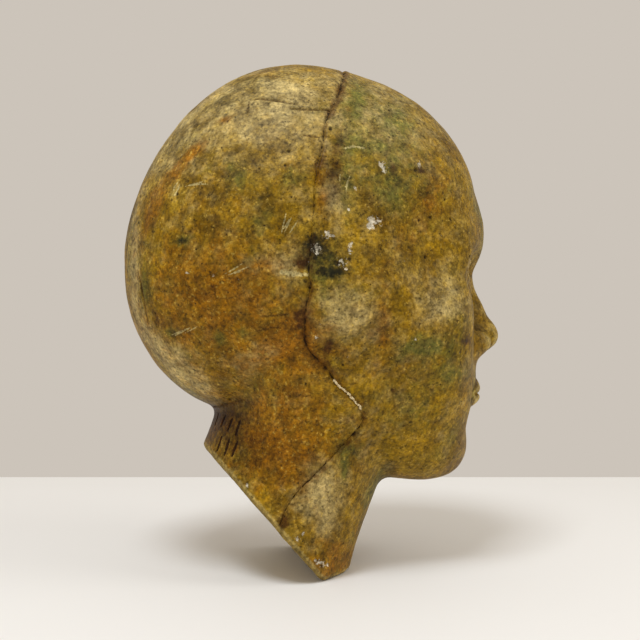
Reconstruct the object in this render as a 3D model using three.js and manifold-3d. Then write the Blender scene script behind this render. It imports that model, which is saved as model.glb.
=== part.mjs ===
// A life-size plaster head, smooth-skulled and without ears, cast in one piece.
// The neck is cut off obliquely from the nape down to the throat, and the head
// stands on a small flat at the neck's front tip.
//
// Millimetres. +X is the way the face looks, +Y the head's left, +Z up.
// The origin is the middle of the flat that the head stands on.

import * as THREE from 'three';
import { mergeVertices } from 'three/addons/utils/BufferGeometryUtils.js';
import Module from 'manifold-3d';

const wasm = await Module();
wasm.setup();

// How the head sits over its foot
const EAR_AHEAD = -14.1;        // the ear hole's place along X
const EAR_HEIGHT = 165.5;       // the ear hole's height above the foot
const NOD = 1.5;                // degrees that the face looks down
const CUT_SLOPE = 49.5;         // degrees that the cut under the neck rises towards the nape
const CUT_START = -11.2;        // where the sloping cut meets the foot, along X

// The head's own frame: x forward and z up from the ear hole and the eye line.
// Every mass lies on the head's left half and is mirrored to the right.
const SKULL = {
  vault: { at: [1, 0, 17], half: [91, 75, 95] },
  back: { at: [-32, 0, -9], half: [61.5, 58, 69] },
  forehead: { at: [40, 0, 33], half: [54, 60, 58] },
  temple: { at: [62, 70, 8], half: [38, 26, 40], depth: 4 },
  earRoot: { at: [16, 70, -14], half: [26, 24, 34], pitch: -12, height: 2.2 },
};

const CHEEK = {
  mass: { at: [32, 0, -38], half: [58, 56, 66] },
  bone: { from: [64, 45, -25], to: [8, 58, -18], fromRadius: 16, toRadius: 11 },
  front: { at: [58, 28, -52], half: [31, 27, 34] },
};

const JAW = {
  body: { from: [14, 42, -70], to: [70, 17, -99], fromRadius: 14, toRadius: 13 },
  branch: { from: [8, 50, -22], to: [14, 42, -70], fromRadius: 14, toRadius: 14 },
  side: { at: [62, 21, -78], half: [27, 20, 26] },
  front: { at: [76, 0, -92], half: [18, 23, 20] },
  floor: { at: [50, 0, -96], half: [40, 30, 20] },
  chin: { at: [82, 0, -101], half: [14, 16, 13] },
};

const MUZZLE = {
  mass: { at: [64, 0, -61], half: [38.5, 33, 31] },
  upper: { at: [74, 0, -50], half: [26, 20, 18] },
};

const BROW = {
  ridge: { from: [86, 10, 18], to: [69, 45, 12], fromRadius: 9.5, toRadius: 7 },
  middle: { at: [84, 0, 22], half: [14, 20, 13] },
};

const NOSE = {
  ridge: { from: [88, 0, 8], to: [106, 0, -31], fromRadius: 5.5, toRadius: 8 },
  flanks: { from: [80, 0, 2], to: [91, 0, -38], fromRadius: 10, toRadius: 13 },
  tip: { at: [109, 0, -36], half: [9, 9.5, 8] },
  septum: { from: [108, 0, -41], to: [98, 0, -47], fromRadius: 3.8, toRadius: 4.6 },
  wing: { at: [99, 11.5, -40.5], half: [10.5, 6.6, 7], pitch: 12 },
  nostril: { at: [103.5, 7, -47.5], half: [6, 3, 4.6], pitch: -12 },
};

const EYE = {
  at: [70.5, 31.5, -1],
  radius: 16,
  socket: { at: [84, 31, -1], half: [34, 23, 19], depth: 9 },
  halfWidth: 14.2,
  openAbove: 5,
  openBelow: 4.2,
  slant: 0.06,
  upperLid: 2,
  lowerLid: 1.5,
  lidEdge: 1.4,
  fold: { above: 8.2, depth: 0.9, width: 1.3 },
};

const MOUTH = {
  height: -68.5,
  halfWidth: 25,
  upperHeight: 9,
  lowerHeight: 10.5,
  upperFullness: 3.4,
  lowerFullness: 4.2,
  dip: 0.8,
  groove: { depth: 1.2, halfWidth: 3.2, from: -47, to: -61.5 },
  corner: { depth: 1.2, size: 4 },
  chinFold: { depth: 2, below: 15, halfWidth: 14, halfHeight: 5 },
  frontFrom: 60,
  frontRun: 20,
};

const NECK = {
  at: [-2.5, 0, -107],
  lean: 19.5,                   // degrees that the neck leans forward towards the skull
  halfDepth: 49,
  halfWidth: 52,
  top: 80,
  cord: { from: [-12, 41, -62], to: [8, 12, -165], fromRadius: 13, toRadius: 9 },
};

// How softly each mass runs into what is there before it
const SOFT = {
  back: 24, forehead: 24, cheeks: 28, cheekBone: 22, cheekFront: 20, jaw: 16, jawBranch: 14,
  jawSide: 18, chin: 12, muzzle: 14, muzzleUpper: 10, brow: 20, browMiddle: 10,
  nose: 8, noseFlanks: 10, noseTip: 6, septum: 4, wing: 4, nostril: 2.5, eye: 5,
  neck: 7, neckCord: 22,
};

// The mesh: edge lengths on the eyes, nose and mouth and on the plain skull
const FINE_EDGE = 2.5;
const COARSE_EDGE = 13;
const EDGE_GROWTH = 0.26;
const START_DETAIL = 10;
const SPLIT_ROUNDS = 5;

// Rays are cast from inside the head, just below the eye line
const CORE = new THREE.Vector3(0, 0, -8);
const FAR_RADIUS = 250;
const RADIUS_STEP = 3;
const BISECTIONS = 16;

const radians = THREE.MathUtils.degToRad;
const clamp01 = (value) => THREE.MathUtils.clamp(value, 0, 1);
const easeInOut = (value) => THREE.MathUtils.smoothstep(value, 0, 1);
const hill = (distance, width) => Math.exp(-((distance / width) ** 2));

/** The union of two distances with a fillet where they are nearly equal. */
function join(a, b, soft) {
  const near = Math.max(soft - Math.abs(a - b), 0) / soft;
  return Math.min(a, b) - near * near * soft * 0.25;
}

/** What is left of distance a when b is scooped out of it. */
function scoop(a, b, soft) {
  return -join(-a, b, soft);
}

/** A point seen from a mass's middle, turned nose up by its pitch. */
function seenFrom(point, { at, pitch = 0 }) {
  const seen = new THREE.Vector3(point.x - at[0], point.y - at[1], point.z - at[2]);
  if (pitch) {
    seen.applyAxisAngle(new THREE.Vector3(0, 1, 0), radians(pitch));
  }
  return seen;
}

/** The distance to an ellipsoid, true near its surface. */
function ellipsoid(point, mass) {
  const seen = seenFrom(point, mass);
  const half = new THREE.Vector3(...mass.half);
  const scaled = seen.divide(half);
  const near = scaled.length();
  const slope = scaled.divide(half).length();
  return near * (near - 1) / Math.max(slope, 1e-9);
}

/** The distance to a round limb that tapers from one end to the other. */
function limb(point, { from, to, fromRadius, toRadius }) {
  const start = new THREE.Vector3(...from);
  const run = new THREE.Vector3(...to).sub(start);
  const seen = point.clone().sub(start);
  const along = clamp01(seen.dot(run) / run.lengthSq());
  return seen.addScaledVector(run, -along).length() - THREE.MathUtils.lerp(fromRadius, toRadius, along);
}

/** A soft swelling, 1 in its middle and 0 at its rim. */
function swelling(point, mass) {
  const scaled = seenFrom(point, mass).divide(new THREE.Vector3(...mass.half));
  return clamp01(1 - scaled.lengthSq()) ** 2;
}

/** The bald skull, with the hollow of the temple. */
function skull(p) {
  let d = ellipsoid(p, SKULL.vault);
  d = join(d, ellipsoid(p, SKULL.back), SOFT.back);
  d = join(d, ellipsoid(p, SKULL.forehead), SOFT.forehead);
  return d + SKULL.temple.depth * swelling(p, SKULL.temple);
}

/** The cheeks, with the cheekbone that runs back to the ear. */
function cheeks(p) {
  let d = ellipsoid(p, CHEEK.mass);
  d = join(d, limb(p, CHEEK.bone), SOFT.cheekBone);
  return join(d, ellipsoid(p, CHEEK.front), SOFT.cheekFront);
}

/** The lower jaw and the chin. */
function jaw(p) {
  let d = limb(p, JAW.body);
  d = join(d, limb(p, JAW.branch), SOFT.jawBranch);
  d = join(d, ellipsoid(p, JAW.side), SOFT.jawSide);
  d = join(d, ellipsoid(p, JAW.front), SOFT.jawBranch);
  d = join(d, ellipsoid(p, JAW.floor), SOFT.jaw);
  return join(d, ellipsoid(p, JAW.chin), SOFT.chin);
}

/** The rounded front over the teeth that carries the lips. */
function muzzle(p) {
  return join(ellipsoid(p, MUZZLE.mass), ellipsoid(p, MUZZLE.upper), SOFT.muzzleUpper);
}

/** The brow's two arches and the swelling between them. */
function brow(p) {
  return join(limb(p, BROW.ridge), ellipsoid(p, BROW.middle), SOFT.browMiddle);
}

/** The nose, with its wings and nostrils. */
function nose(p) {
  let d = limb(p, NOSE.ridge);
  d = join(d, limb(p, NOSE.flanks), SOFT.noseFlanks);
  d = join(d, ellipsoid(p, NOSE.tip), SOFT.noseTip);
  d = join(d, limb(p, NOSE.septum), SOFT.septum);
  d = join(d, ellipsoid(p, NOSE.wing), SOFT.wing);
  return scoop(d, ellipsoid(p, NOSE.nostril), SOFT.nostril);
}

/** An open eye: the ball, and the lids that stand out around its almond opening. */
function eye(p) {
  const side = p.y - EYE.at[1];
  const up = p.z - EYE.at[2];
  const arch = clamp01(1 - (side / EYE.halfWidth) ** 2);
  const slant = side * EYE.slant;
  const upperEdge = EYE.openAbove * arch ** 0.8 + slant;
  const lowerEdge = -EYE.openBelow * arch ** 0.9 + slant;
  const outside = Math.max(up - upperEdge, lowerEdge - up);
  const lid = up > slant ? EYE.upperLid : EYE.lowerLid;
  const foldLine = EYE.fold.above * arch ** 0.6 + slant;
  const fold = EYE.fold.depth * hill(up - foldLine, EYE.fold.width) * easeInOut(arch / 0.4);
  const ball = Math.hypot(p.x - EYE.at[0], side, up) - EYE.radius;
  return ball - lid * easeInOut((outside + 0.3) / EYE.lidEdge) + fold;
}

/** A lip's roundness across its height, from the mouth's line at 0 to the lip's border at 1. */
function lipRound(share) {
  const t = clamp01(share);
  return t ** 0.55 * (1 - t) ** 1.15 / 0.335;
}

/** How far the lips stand out, less the folds above, beside and below them. */
function lips(p) {
  const side = p.y;
  const width = clamp01(1 - (side / MOUTH.halfWidth) ** 2);
  const line = MOUTH.height - MOUTH.dip * hill(side, 4.5) + 0.5 * hill(side - 9, 5);
  const bow = 1 + 0.1 * hill(side - 6, 3.5) - 0.12 * hill(side, 2.6);
  const upperHeight = MOUTH.upperHeight * width ** 0.7 * bow + 0.01;
  const lowerHeight = MOUTH.lowerHeight * width ** 0.75 + 0.01;
  const upper = MOUTH.upperFullness * width ** 0.7 * lipRound((p.z - line) / upperHeight);
  const lower = MOUTH.lowerFullness * width ** 0.8 * lipRound((line - p.z) / lowerHeight);
  const { groove, corner, chinFold } = MOUTH;
  const grooveRun = easeInOut((p.z - groove.to) / 4) * easeInOut((groove.from - p.z) / 4);
  const grooveDepth = groove.depth * hill(side, groove.halfWidth) * grooveRun;
  const cornerDepth = corner.depth * hill(side - MOUTH.halfWidth, corner.size) * hill(p.z - line, corner.size);
  const foldHeight = MOUTH.height - chinFold.below;
  const foldDepth = chinFold.depth * hill(side, chinFold.halfWidth) * hill(p.z - foldHeight, chinFold.halfHeight);
  const front = easeInOut((p.x - MOUTH.frontFrom) / MOUTH.frontRun);
  return (upper + lower - grooveDepth - cornerDepth - foldDepth) * front;
}

/** The leaning neck, with the cord that runs from behind the ear to the throat. */
function neck(p) {
  const lean = radians(NECK.lean);
  const x = p.x - NECK.at[0];
  const z = p.z - NECK.at[2];
  const across = x * Math.cos(lean) - z * Math.sin(lean);
  const along = z * Math.cos(lean) + x * Math.sin(lean);
  const round = Math.hypot(across / NECK.halfDepth, p.y / NECK.halfWidth) - 1;
  const column = round * (NECK.halfDepth + NECK.halfWidth) / 2;
  return Math.max(join(column, limb(p, NECK.cord), SOFT.neckCord), along - NECK.top);
}

/** The whole head's distance field in its own frame, with the neck running on uncut. */
function headField(point) {
  const p = new THREE.Vector3(point.x, Math.abs(point.y), point.z);
  let d = skull(p);
  d = join(d, cheeks(p), SOFT.cheeks);
  d = join(d, jaw(p), SOFT.jaw);
  d = join(d, muzzle(p), SOFT.muzzle);
  d = join(d, brow(p), SOFT.brow);
  d += EYE.socket.depth * swelling(p, EYE.socket);
  d = join(d, nose(p), SOFT.nose);
  d = join(d, eye(p), SOFT.eye);
  d -= lips(p);
  d = join(d, neck(p), SOFT.neck);
  return d - SKULL.earRoot.height * swelling(p, SKULL.earRoot);
}

/** The outermost surface point along a direction from the head's core. */
function surfacePoint(direction) {
  const at = (radius) => CORE.clone().addScaledVector(direction, radius);
  let inside = FAR_RADIUS;
  while (inside > RADIUS_STEP && headField(at(inside)) > 0) {
    inside -= RADIUS_STEP;
  }
  let outside = inside + RADIUS_STEP;
  for (let i = 0; i < BISECTIONS; i += 1) {
    const middle = (inside + outside) / 2;
    if (headField(at(middle)) > 0) {
      outside = middle;
    } else {
      inside = middle;
    }
  }
  return at(inside);
}

/** How long an edge may be at a point: short on the features, long on the plain skull. */
function wantedEdge(p) {
  const side = Math.abs(p.y);
  const fromEye = Math.hypot(side - EYE.at[1], (p.z - EYE.at[2]) * 1.5) - EYE.halfWidth;
  const fromMouth = Math.hypot(side, (p.z - MOUTH.height) * 3) - MOUTH.halfWidth;
  const fromNose = Math.hypot(side, p.z - NOSE.wing.at[2]) - 2 * NOSE.wing.half[1];
  const behind = MOUTH.frontFrom - p.x;
  const away = Math.max(Math.min(fromEye, fromMouth, fromNose), behind, 0);
  return Math.min(FINE_EDGE + away * EDGE_GROWTH, COARSE_EDGE);
}

/** Splits a face at the marked middles of its edges, so that neighbours still meet. */
function splitFace([a, b, c], middleOf) {
  const corners = [a, b, c];
  const middles = [middleOf(a, b), middleOf(b, c), middleOf(c, a)];
  const marked = middles.filter((middle) => middle !== undefined).length;
  if (marked === 0) {
    return [corners];
  }
  const [ab, bc, ca] = middles;
  if (marked === 3) {
    return [[a, ab, ca], [ab, b, bc], [ca, bc, c], [ab, bc, ca]];
  }
  if (marked === 1) {
    const k = middles.findIndex((middle) => middle !== undefined);
    const [start, end, apex] = [corners[k], corners[(k + 1) % 3], corners[(k + 2) % 3]];
    return [[start, middles[k], apex], [middles[k], end, apex]];
  }
  const whole = middles.findIndex((middle) => middle === undefined);
  const [start, end, apex] = [corners[whole], corners[(whole + 1) % 3], corners[(whole + 2) % 3]];
  const [endSide, startSide] = [middles[(whole + 1) % 3], middles[(whole + 2) % 3]];
  return [[startSide, endSide, apex], [start, end, endSide], [start, endSide, startSide]];
}

/** Splits all edges that are longer than wanted, and lays their middles on the surface. */
function splitLongEdges(points, faces) {
  const middles = new Map();
  const key = (a, b) => (a < b ? `${a} ${b}` : `${b} ${a}`);
  for (const [a, b, c] of faces) {
    for (const [start, end] of [[a, b], [b, c], [c, a]]) {
      const name = key(start, end);
      const middle = points[start].clone().add(points[end]).multiplyScalar(0.5);
      if (!middles.has(name) && points[start].distanceTo(points[end]) > wantedEdge(middle)) {
        middles.set(name, points.length);
        points.push(surfacePoint(middle.sub(CORE).normalize()));
      }
    }
  }
  return faces.flatMap((face) => splitFace(face, (a, b) => middles.get(key(a, b))));
}

/** A three.js geometry's corners and faces with its doubled corners made one. */
function welded(geometry) {
  const bare = new THREE.BufferGeometry();
  bare.setAttribute('position', geometry.getAttribute('position'));
  bare.setIndex(geometry.getIndex());
  const merged = mergeVertices(bare);
  const position = merged.getAttribute('position');
  const index = merged.getIndex().array;
  const points = [];
  for (let i = 0; i < position.count; i += 1) {
    points.push(new THREE.Vector3().fromBufferAttribute(position, i));
  }
  const faces = [];
  for (let i = 0; i < index.length; i += 3) {
    faces.push([index[i], index[i + 1], index[i + 2]]);
  }
  return { points, faces };
}

/** The closed solid of a list of points and faces. */
function solidOf({ points, faces }) {
  const vertProperties = new Float32Array(points.flatMap((point) => point.toArray()));
  const triVerts = new Uint32Array(faces.flat());
  return new wasm.Manifold(new wasm.Mesh({ numProp: 3, vertProperties, triVerts }));
}

/** The head's solid before the neck is cut, standing over its foot. */
function uncutHead() {
  const sphere = welded(new THREE.IcosahedronGeometry(1, START_DETAIL));
  const points = sphere.points.map((direction) => surfacePoint(direction.normalize()));
  let { faces } = sphere;
  for (let round = 0; round < SPLIT_ROUNDS; round += 1) {
    faces = splitLongEdges(points, faces);
  }
  const stand = new THREE.Matrix4().makeRotationY(radians(NOD)).setPosition(EAR_AHEAD, 0, EAR_HEIGHT);
  return solidOf({ points: points.map((point) => point.applyMatrix4(stand)), faces });
}

/** A block that lies behind a plane through a point, the plane sloping up towards the nape. */
function blockUnder(start, slope) {
  const reach = 600;
  const block = new THREE.BoxGeometry(reach, reach, reach);
  block.translate(0, 0, -reach / 2);
  block.rotateY(radians(slope));
  block.translate(start, 0, 0);
  return solidOf(welded(block));
}

/** A solid's surface as a three.js geometry. */
function geometryOf(solid) {
  const mesh = solid.getMesh();
  const geometry = new THREE.BufferGeometry();
  geometry.setAttribute('position', new THREE.BufferAttribute(mesh.vertProperties, mesh.numProp));
  geometry.setIndex(new THREE.BufferAttribute(mesh.triVerts, 1));
  geometry.computeVertexNormals();
  return geometry;
}

const plaster = new THREE.MeshStandardMaterial({ name: 'patinated_plaster', color: '#a8945f', roughness: 0.55 });

const head = uncutHead()
  .subtract(blockUnder(CUT_START, CUT_SLOPE))
  .subtract(blockUnder(0, 0));

const plasterHead = new THREE.Mesh(geometryOf(head), plaster);
plasterHead.name = 'plaster_head';

const bust = new THREE.Group();
bust.name = 'plaster_bust';
bust.add(plasterHead);

export default bust;
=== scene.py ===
"""A life-size plaster head in its old patina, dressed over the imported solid.

The head is bald and without ears, cast in one piece in a two-part mould, with
an oblique cut through the neck. The classes of the head work in millimetres,
and its meshes are turned to metres when they become Blender objects.
"""

import enum
import logging
import math
from dataclasses import dataclass
from typing import Callable

import bmesh
import bpy
import numpy as np
from mathutils import Matrix, Vector, noise


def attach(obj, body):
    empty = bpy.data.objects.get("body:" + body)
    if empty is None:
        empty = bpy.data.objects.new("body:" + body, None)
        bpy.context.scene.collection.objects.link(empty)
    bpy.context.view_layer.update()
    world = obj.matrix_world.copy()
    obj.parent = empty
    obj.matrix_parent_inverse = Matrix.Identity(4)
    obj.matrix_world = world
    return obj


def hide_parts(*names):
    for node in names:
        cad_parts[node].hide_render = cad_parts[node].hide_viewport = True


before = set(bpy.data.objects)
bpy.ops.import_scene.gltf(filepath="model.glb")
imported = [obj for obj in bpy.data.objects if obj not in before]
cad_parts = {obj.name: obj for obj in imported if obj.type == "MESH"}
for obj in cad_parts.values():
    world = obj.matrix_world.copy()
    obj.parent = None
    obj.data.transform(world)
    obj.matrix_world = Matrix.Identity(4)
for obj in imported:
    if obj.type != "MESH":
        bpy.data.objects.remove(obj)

LOG = logging.getLogger("plaster_head")
HEAD_NODE = "plaster_head"
BODY = "root"
MM = 0.001

# Each finer octave of the noise on the mesh is half as strong and half as large
NOISE_FADE = 1.0
NOISE_STEP = 2.0

Node = bpy.types.Node
Socket = bpy.types.NodeSocket
Tree = bpy.types.NodeTree
Points = np.ndarray
Values = np.ndarray
Pair = tuple[float, float]
Place = tuple[float, float, float]


class Side(enum.Enum):
    """A side of the head, with the sign of Y there."""

    LEFT = 1.0
    RIGHT = -1.0


class Pattern(enum.Enum):
    """A noise pattern of the worn surface; its value moves it away from the others."""

    SWELLS = 1.3
    LUMPS = 2.9
    SEAM_STRAYS = 3.1
    STREAKS = 4.4
    SEAM_CORNERS = 5.3
    CUT_FACES = 6.1
    MARK_EDGES = 7.7


# Shaping


def join(first: Values, second: Values, soft: float) -> Values:
    """Unite two distances with a fillet where they are nearly equal.

    Args:
        first: Distances to one mass, negative inside it.
        second: Distances to another mass.
        soft: Width of the fillet.

    Returns:
        The distances to both together.
    """
    near = np.maximum(soft - np.abs(first - second), 0.0) / soft
    return np.minimum(first, second) - near * near * soft * 0.25


def scoop(first: Values, second: Values, soft: float) -> Values:
    """Scoop one mass out of another, with a softened rim.

    Args:
        first: Distances to the mass that stays.
        second: Distances to the mass that is taken out.
        soft: Width of the softened rim.

    Returns:
        The distances to what is left.
    """
    return -join(-first, second, soft)


def ease(share: Values) -> Values:
    """Turn 0 to 1 into a smooth step, flat at both ends."""
    held = np.clip(share, 0.0, 1.0)
    return held * held * (3.0 - 2.0 * held)


def hill(distance: Values, width: float) -> Values:
    """Give a soft hill, 1 in its middle and 0.37 at its width."""
    return np.exp(-((distance / width) ** 2))


def lengths(rows: Points) -> Values:
    """Give the length of each row."""
    return np.linalg.norm(rows, axis=1)


@dataclass(frozen=True)
class Fade:
    """A smooth step along a line.

    Attributes:
        start: Where it starts from 0.
        run: How much further on it reaches 1, less than nought to run backwards.
    """

    start: float
    run: float

    def over(self, along: Values) -> Values:
        """Give its height along the line, 0 to 1."""
        return ease((along - self.start) / self.run)


@dataclass(frozen=True)
class Rise:
    """A soft rise along a line, or a dip where its height is below nought."""

    at: float
    height: float
    width: float

    def over(self, along: Values) -> Values:
        """Give its height along the line."""
        return self.height * hill(along - self.at, self.width)


@dataclass(frozen=True)
class Unevenness:
    """Smooth noise over the worn surface.

    Attributes:
        height: How far it goes up and down.
        size: The size of its largest patches.
        pattern: Which pattern it is.
        octaves: How many sizes of patches it has, each half of the last.
    """

    height: float
    size: float
    pattern: Pattern
    octaves: int

    def over(self, points: Points) -> Values:
        """Give its height at each place.

        Args:
            points: Places in millimetres.

        Returns:
            One height per place.
        """
        moved = points / self.size + self.pattern.value
        found = [noise.fractal(Vector(place), NOISE_FADE, NOISE_STEP, self.octaves) for place in moved]
        return self.height * np.array(found)


@dataclass(frozen=True)
class Ball:
    """An ellipsoidal mass on the head's left half.

    Attributes:
        at: Its middle in the head's frame.
        half: Its half axes.
        pitch: Degrees that it is turned nose down.
        soft: Width of the fillet where it meets the masses before it.
    """

    at: Place
    half: Place
    pitch: float = 0.0
    soft: float = 0.0

    def scaled(self, points: Points) -> Points:
        """Give points from the mass's middle, turned and in half axes.

        Args:
            points: Places in the head's frame.

        Returns:
            The places, 1 away from the middle on the mass's surface.
        """
        seen = points - np.array(self.at)
        if self.pitch:
            turn = math.radians(self.pitch)
            along = math.cos(turn) * seen[:, 0] + math.sin(turn) * seen[:, 2]
            up = math.cos(turn) * seen[:, 2] - math.sin(turn) * seen[:, 0]
            seen = np.stack([along, seen[:, 1], up], 1)
        return seen / np.array(self.half)

    def distance(self, points: Points) -> Values:
        """Give the distance to the mass, true near its surface.

        Args:
            points: Places in the head's frame.

        Returns:
            One distance per place.
        """
        scaled = self.scaled(points)
        near = lengths(scaled)
        slope = lengths(scaled / np.array(self.half))
        return near * (near - 1.0) / np.maximum(slope, 1e-9)

    def swelling(self, points: Points) -> Values:
        """Give a soft swelling, 1 in the mass's middle and 0 at its rim."""
        return np.clip(1.0 - (self.scaled(points) ** 2).sum(1), 0.0, 1.0) ** 2


@dataclass(frozen=True)
class Limb:
    """A round mass that tapers from one end to the other.

    Attributes:
        start: The middle of its first end.
        end: The middle of its other end.
        start_radius: Its radius at the first end.
        end_radius: Its radius at the other end.
        soft: Width of the fillet where it meets the masses before it.
    """

    start: Place
    end: Place
    start_radius: float
    end_radius: float
    soft: float = 0.0

    def distance(self, points: Points) -> Values:
        """Give the distance to the mass.

        Args:
            points: Places in the head's frame.

        Returns:
            One distance per place.
        """
        run = np.array(self.end) - np.array(self.start)
        seen = points - np.array(self.start)
        along = np.clip(seen @ run / (run @ run), 0.0, 1.0)
        radius = self.start_radius + (self.end_radius - self.start_radius) * along
        return lengths(seen - along[:, None] * run) - radius


def joined(points: Points, first: Ball | Limb, *others: Ball | Limb) -> Values:
    """Join masses one after another, each with its own fillet.

    Args:
        points: Places in the head's frame.
        first: The mass that the others are joined to.
        *others: The other masses in their order.

    Returns:
        The distances to all of them together.
    """
    found = first.distance(points)
    for mass in others:
        found = join(found, mass.distance(points), mass.soft)
    return found


# The head's masses


@dataclass(frozen=True)
class Skull:
    """The bald skull, with the hollow of the temple and the stump of the ear."""

    vault: Ball = Ball((1, 0, 17), (91, 75, 95))
    back: Ball = Ball((-32, 0, -9), (61.5, 58, 69), soft=24)
    forehead: Ball = Ball((40, 0, 33), (54, 60, 58), soft=24)
    temple: Ball = Ball((62, 70, 8), (38, 26, 40))
    temple_depth: float = 4.0
    ear_root: Ball = Ball((16, 70, -14), (26, 24, 34), pitch=-12)
    ear_root_height: float = 2.2

    def distance(self, points: Points) -> Values:
        """Give the distance to the skull."""
        found = joined(points, self.vault, self.back, self.forehead)
        return found + self.temple_depth * self.temple.swelling(points)

    def ear_stump(self, points: Points) -> Values:
        """Give how far the smooth patch in the ear's place stands out."""
        return self.ear_root_height * self.ear_root.swelling(points)


@dataclass(frozen=True)
class Cheeks:
    """The cheeks, with the cheekbone that runs back to the ear."""

    mass: Ball = Ball((32, 0, -38), (58, 56, 66))
    bone: Limb = Limb((64, 45, -25), (8, 58, -18), 16, 11, soft=22)
    front: Ball = Ball((58, 28, -52), (31, 27, 34), soft=20)
    soft: float = 28.0

    def distance(self, points: Points) -> Values:
        """Give the distance to the cheeks."""
        return joined(points, self.mass, self.bone, self.front)


@dataclass(frozen=True)
class Jaw:
    """The lower jaw and the chin."""

    body: Limb = Limb((14, 42, -70), (70, 17, -99), 14, 13)
    branch: Limb = Limb((8, 50, -22), (14, 42, -70), 14, 14, soft=14)
    flank: Ball = Ball((62, 21, -78), (27, 20, 26), soft=18)
    front: Ball = Ball((76, 0, -92), (18, 23, 20), soft=14)
    floor: Ball = Ball((50, 0, -96), (40, 30, 20), soft=16)
    chin: Ball = Ball((82, 0, -101), (14, 16, 13), soft=12)
    soft: float = 16.0

    def distance(self, points: Points) -> Values:
        """Give the distance to the jaw."""
        return joined(points, self.body, self.branch, self.flank, self.front, self.floor, self.chin)


@dataclass(frozen=True)
class Muzzle:
    """The rounded front over the teeth, which carries the lips."""

    mass: Ball = Ball((64, 0, -61), (38.5, 33, 31))
    upper: Ball = Ball((74, 0, -50), (26, 20, 18), soft=10)
    soft: float = 14.0

    def distance(self, points: Points) -> Values:
        """Give the distance to the muzzle."""
        return joined(points, self.mass, self.upper)


@dataclass(frozen=True)
class Brow:
    """The brow's two arches and the swelling between them."""

    ridge: Limb = Limb((86, 10, 18), (69, 45, 12), 9.5, 7)
    middle: Ball = Ball((84, 0, 22), (14, 20, 13), soft=10)
    soft: float = 20.0

    def distance(self, points: Points) -> Values:
        """Give the distance to the brow."""
        return joined(points, self.ridge, self.middle)


@dataclass(frozen=True)
class Nose:
    """The nose, with its wings and nostrils."""

    ridge: Limb = Limb((88, 0, 8), (106, 0, -31), 5.5, 8)
    flanks: Limb = Limb((80, 0, 2), (91, 0, -38), 10, 13, soft=10)
    tip: Ball = Ball((109, 0, -36), (9, 9.5, 8), soft=6)
    septum: Limb = Limb((108, 0, -41), (98, 0, -47), 3.8, 4.6, soft=4)
    wing: Ball = Ball((99, 11.5, -40.5), (10.5, 6.6, 7), pitch=12, soft=4)
    nostril: Ball = Ball((103.5, 7, -47.5), (6, 3, 4.6), pitch=-12, soft=2.5)
    soft: float = 8.0

    def distance(self, points: Points) -> Values:
        """Give the distance to the nose."""
        found = joined(points, self.ridge, self.flanks, self.tip, self.septum, self.wing)
        return scoop(found, self.nostril.distance(points), self.nostril.soft)


@dataclass(frozen=True)
class Eye:
    """An open eye: the ball, and the lids that stand out around its opening.

    Attributes:
        at: The eyeball's middle.
        radius: Its radius.
        socket: The hollow that it lies in.
        socket_depth: How deep that hollow is.
        half_width: Half the width of the opening between the lids.
        open_above: How far the opening reaches above the eyeball's middle.
        open_below: How far it reaches below.
        upper_arch: How full the arch of its upper edge is, fullest near 0.
        lower_arch: How full the arch of its lower edge is.
        slant: How steeply it rises to its outer corner.
        upper_lid: How far the upper lid stands out of the eyeball.
        lower_lid: How far the lower lid stands out.
        lid_edge: The lids' rounded edge, from just inside the opening outwards.
        fold_above: Height of the fold over the upper lid.
        fold_arch: How full the fold's arch is.
        fold: The fold across its length.
        fold_ends: How its ends fade out, over shares of the arch's height.
        soft: Width of the fillet between the lids and the socket.
    """

    at: Place = (70.5, 31.5, -1)
    radius: float = 16.0
    socket: Ball = Ball((84, 31, -1), (34, 23, 19))
    socket_depth: float = 9.0
    half_width: float = 14.2
    open_above: float = 5.0
    open_below: float = 4.2
    upper_arch: float = 0.8
    lower_arch: float = 0.9
    slant: float = 0.06
    upper_lid: float = 2.0
    lower_lid: float = 1.5
    lid_edge: Fade = Fade(-0.3, 1.4)
    fold_above: float = 8.2
    fold_arch: float = 0.6
    fold: Rise = Rise(0.0, 0.9, 1.3)
    fold_ends: Fade = Fade(0.0, 0.4)
    soft: float = 5.0

    def hollow(self, points: Points) -> Values:
        """Give the depth of the eye socket."""
        return self.socket_depth * self.socket.swelling(points)

    def distance(self, points: Points) -> Values:
        """Give the distance to the eyeball and its lids.

        Args:
            points: Places in the head's frame.

        Returns:
            One distance per place.
        """
        side = points[:, 1] - self.at[1]
        up = points[:, 2] - self.at[2]
        arch = np.clip(1.0 - (side / self.half_width) ** 2, 0.0, 1.0)
        slant = side * self.slant
        upper_edge = self.open_above * arch**self.upper_arch + slant
        lower_edge = -self.open_below * arch**self.lower_arch + slant
        outside = np.maximum(up - upper_edge, lower_edge - up)
        lid = np.where(up > slant, self.upper_lid, self.lower_lid)
        fold_up = up - (self.fold_above * arch**self.fold_arch + slant)
        fold = self.fold.over(fold_up) * self.fold_ends.over(arch)
        ball = lengths(points - np.array(self.at)) - self.radius
        return ball - lid * self.lid_edge.over(outside) + fold


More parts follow.
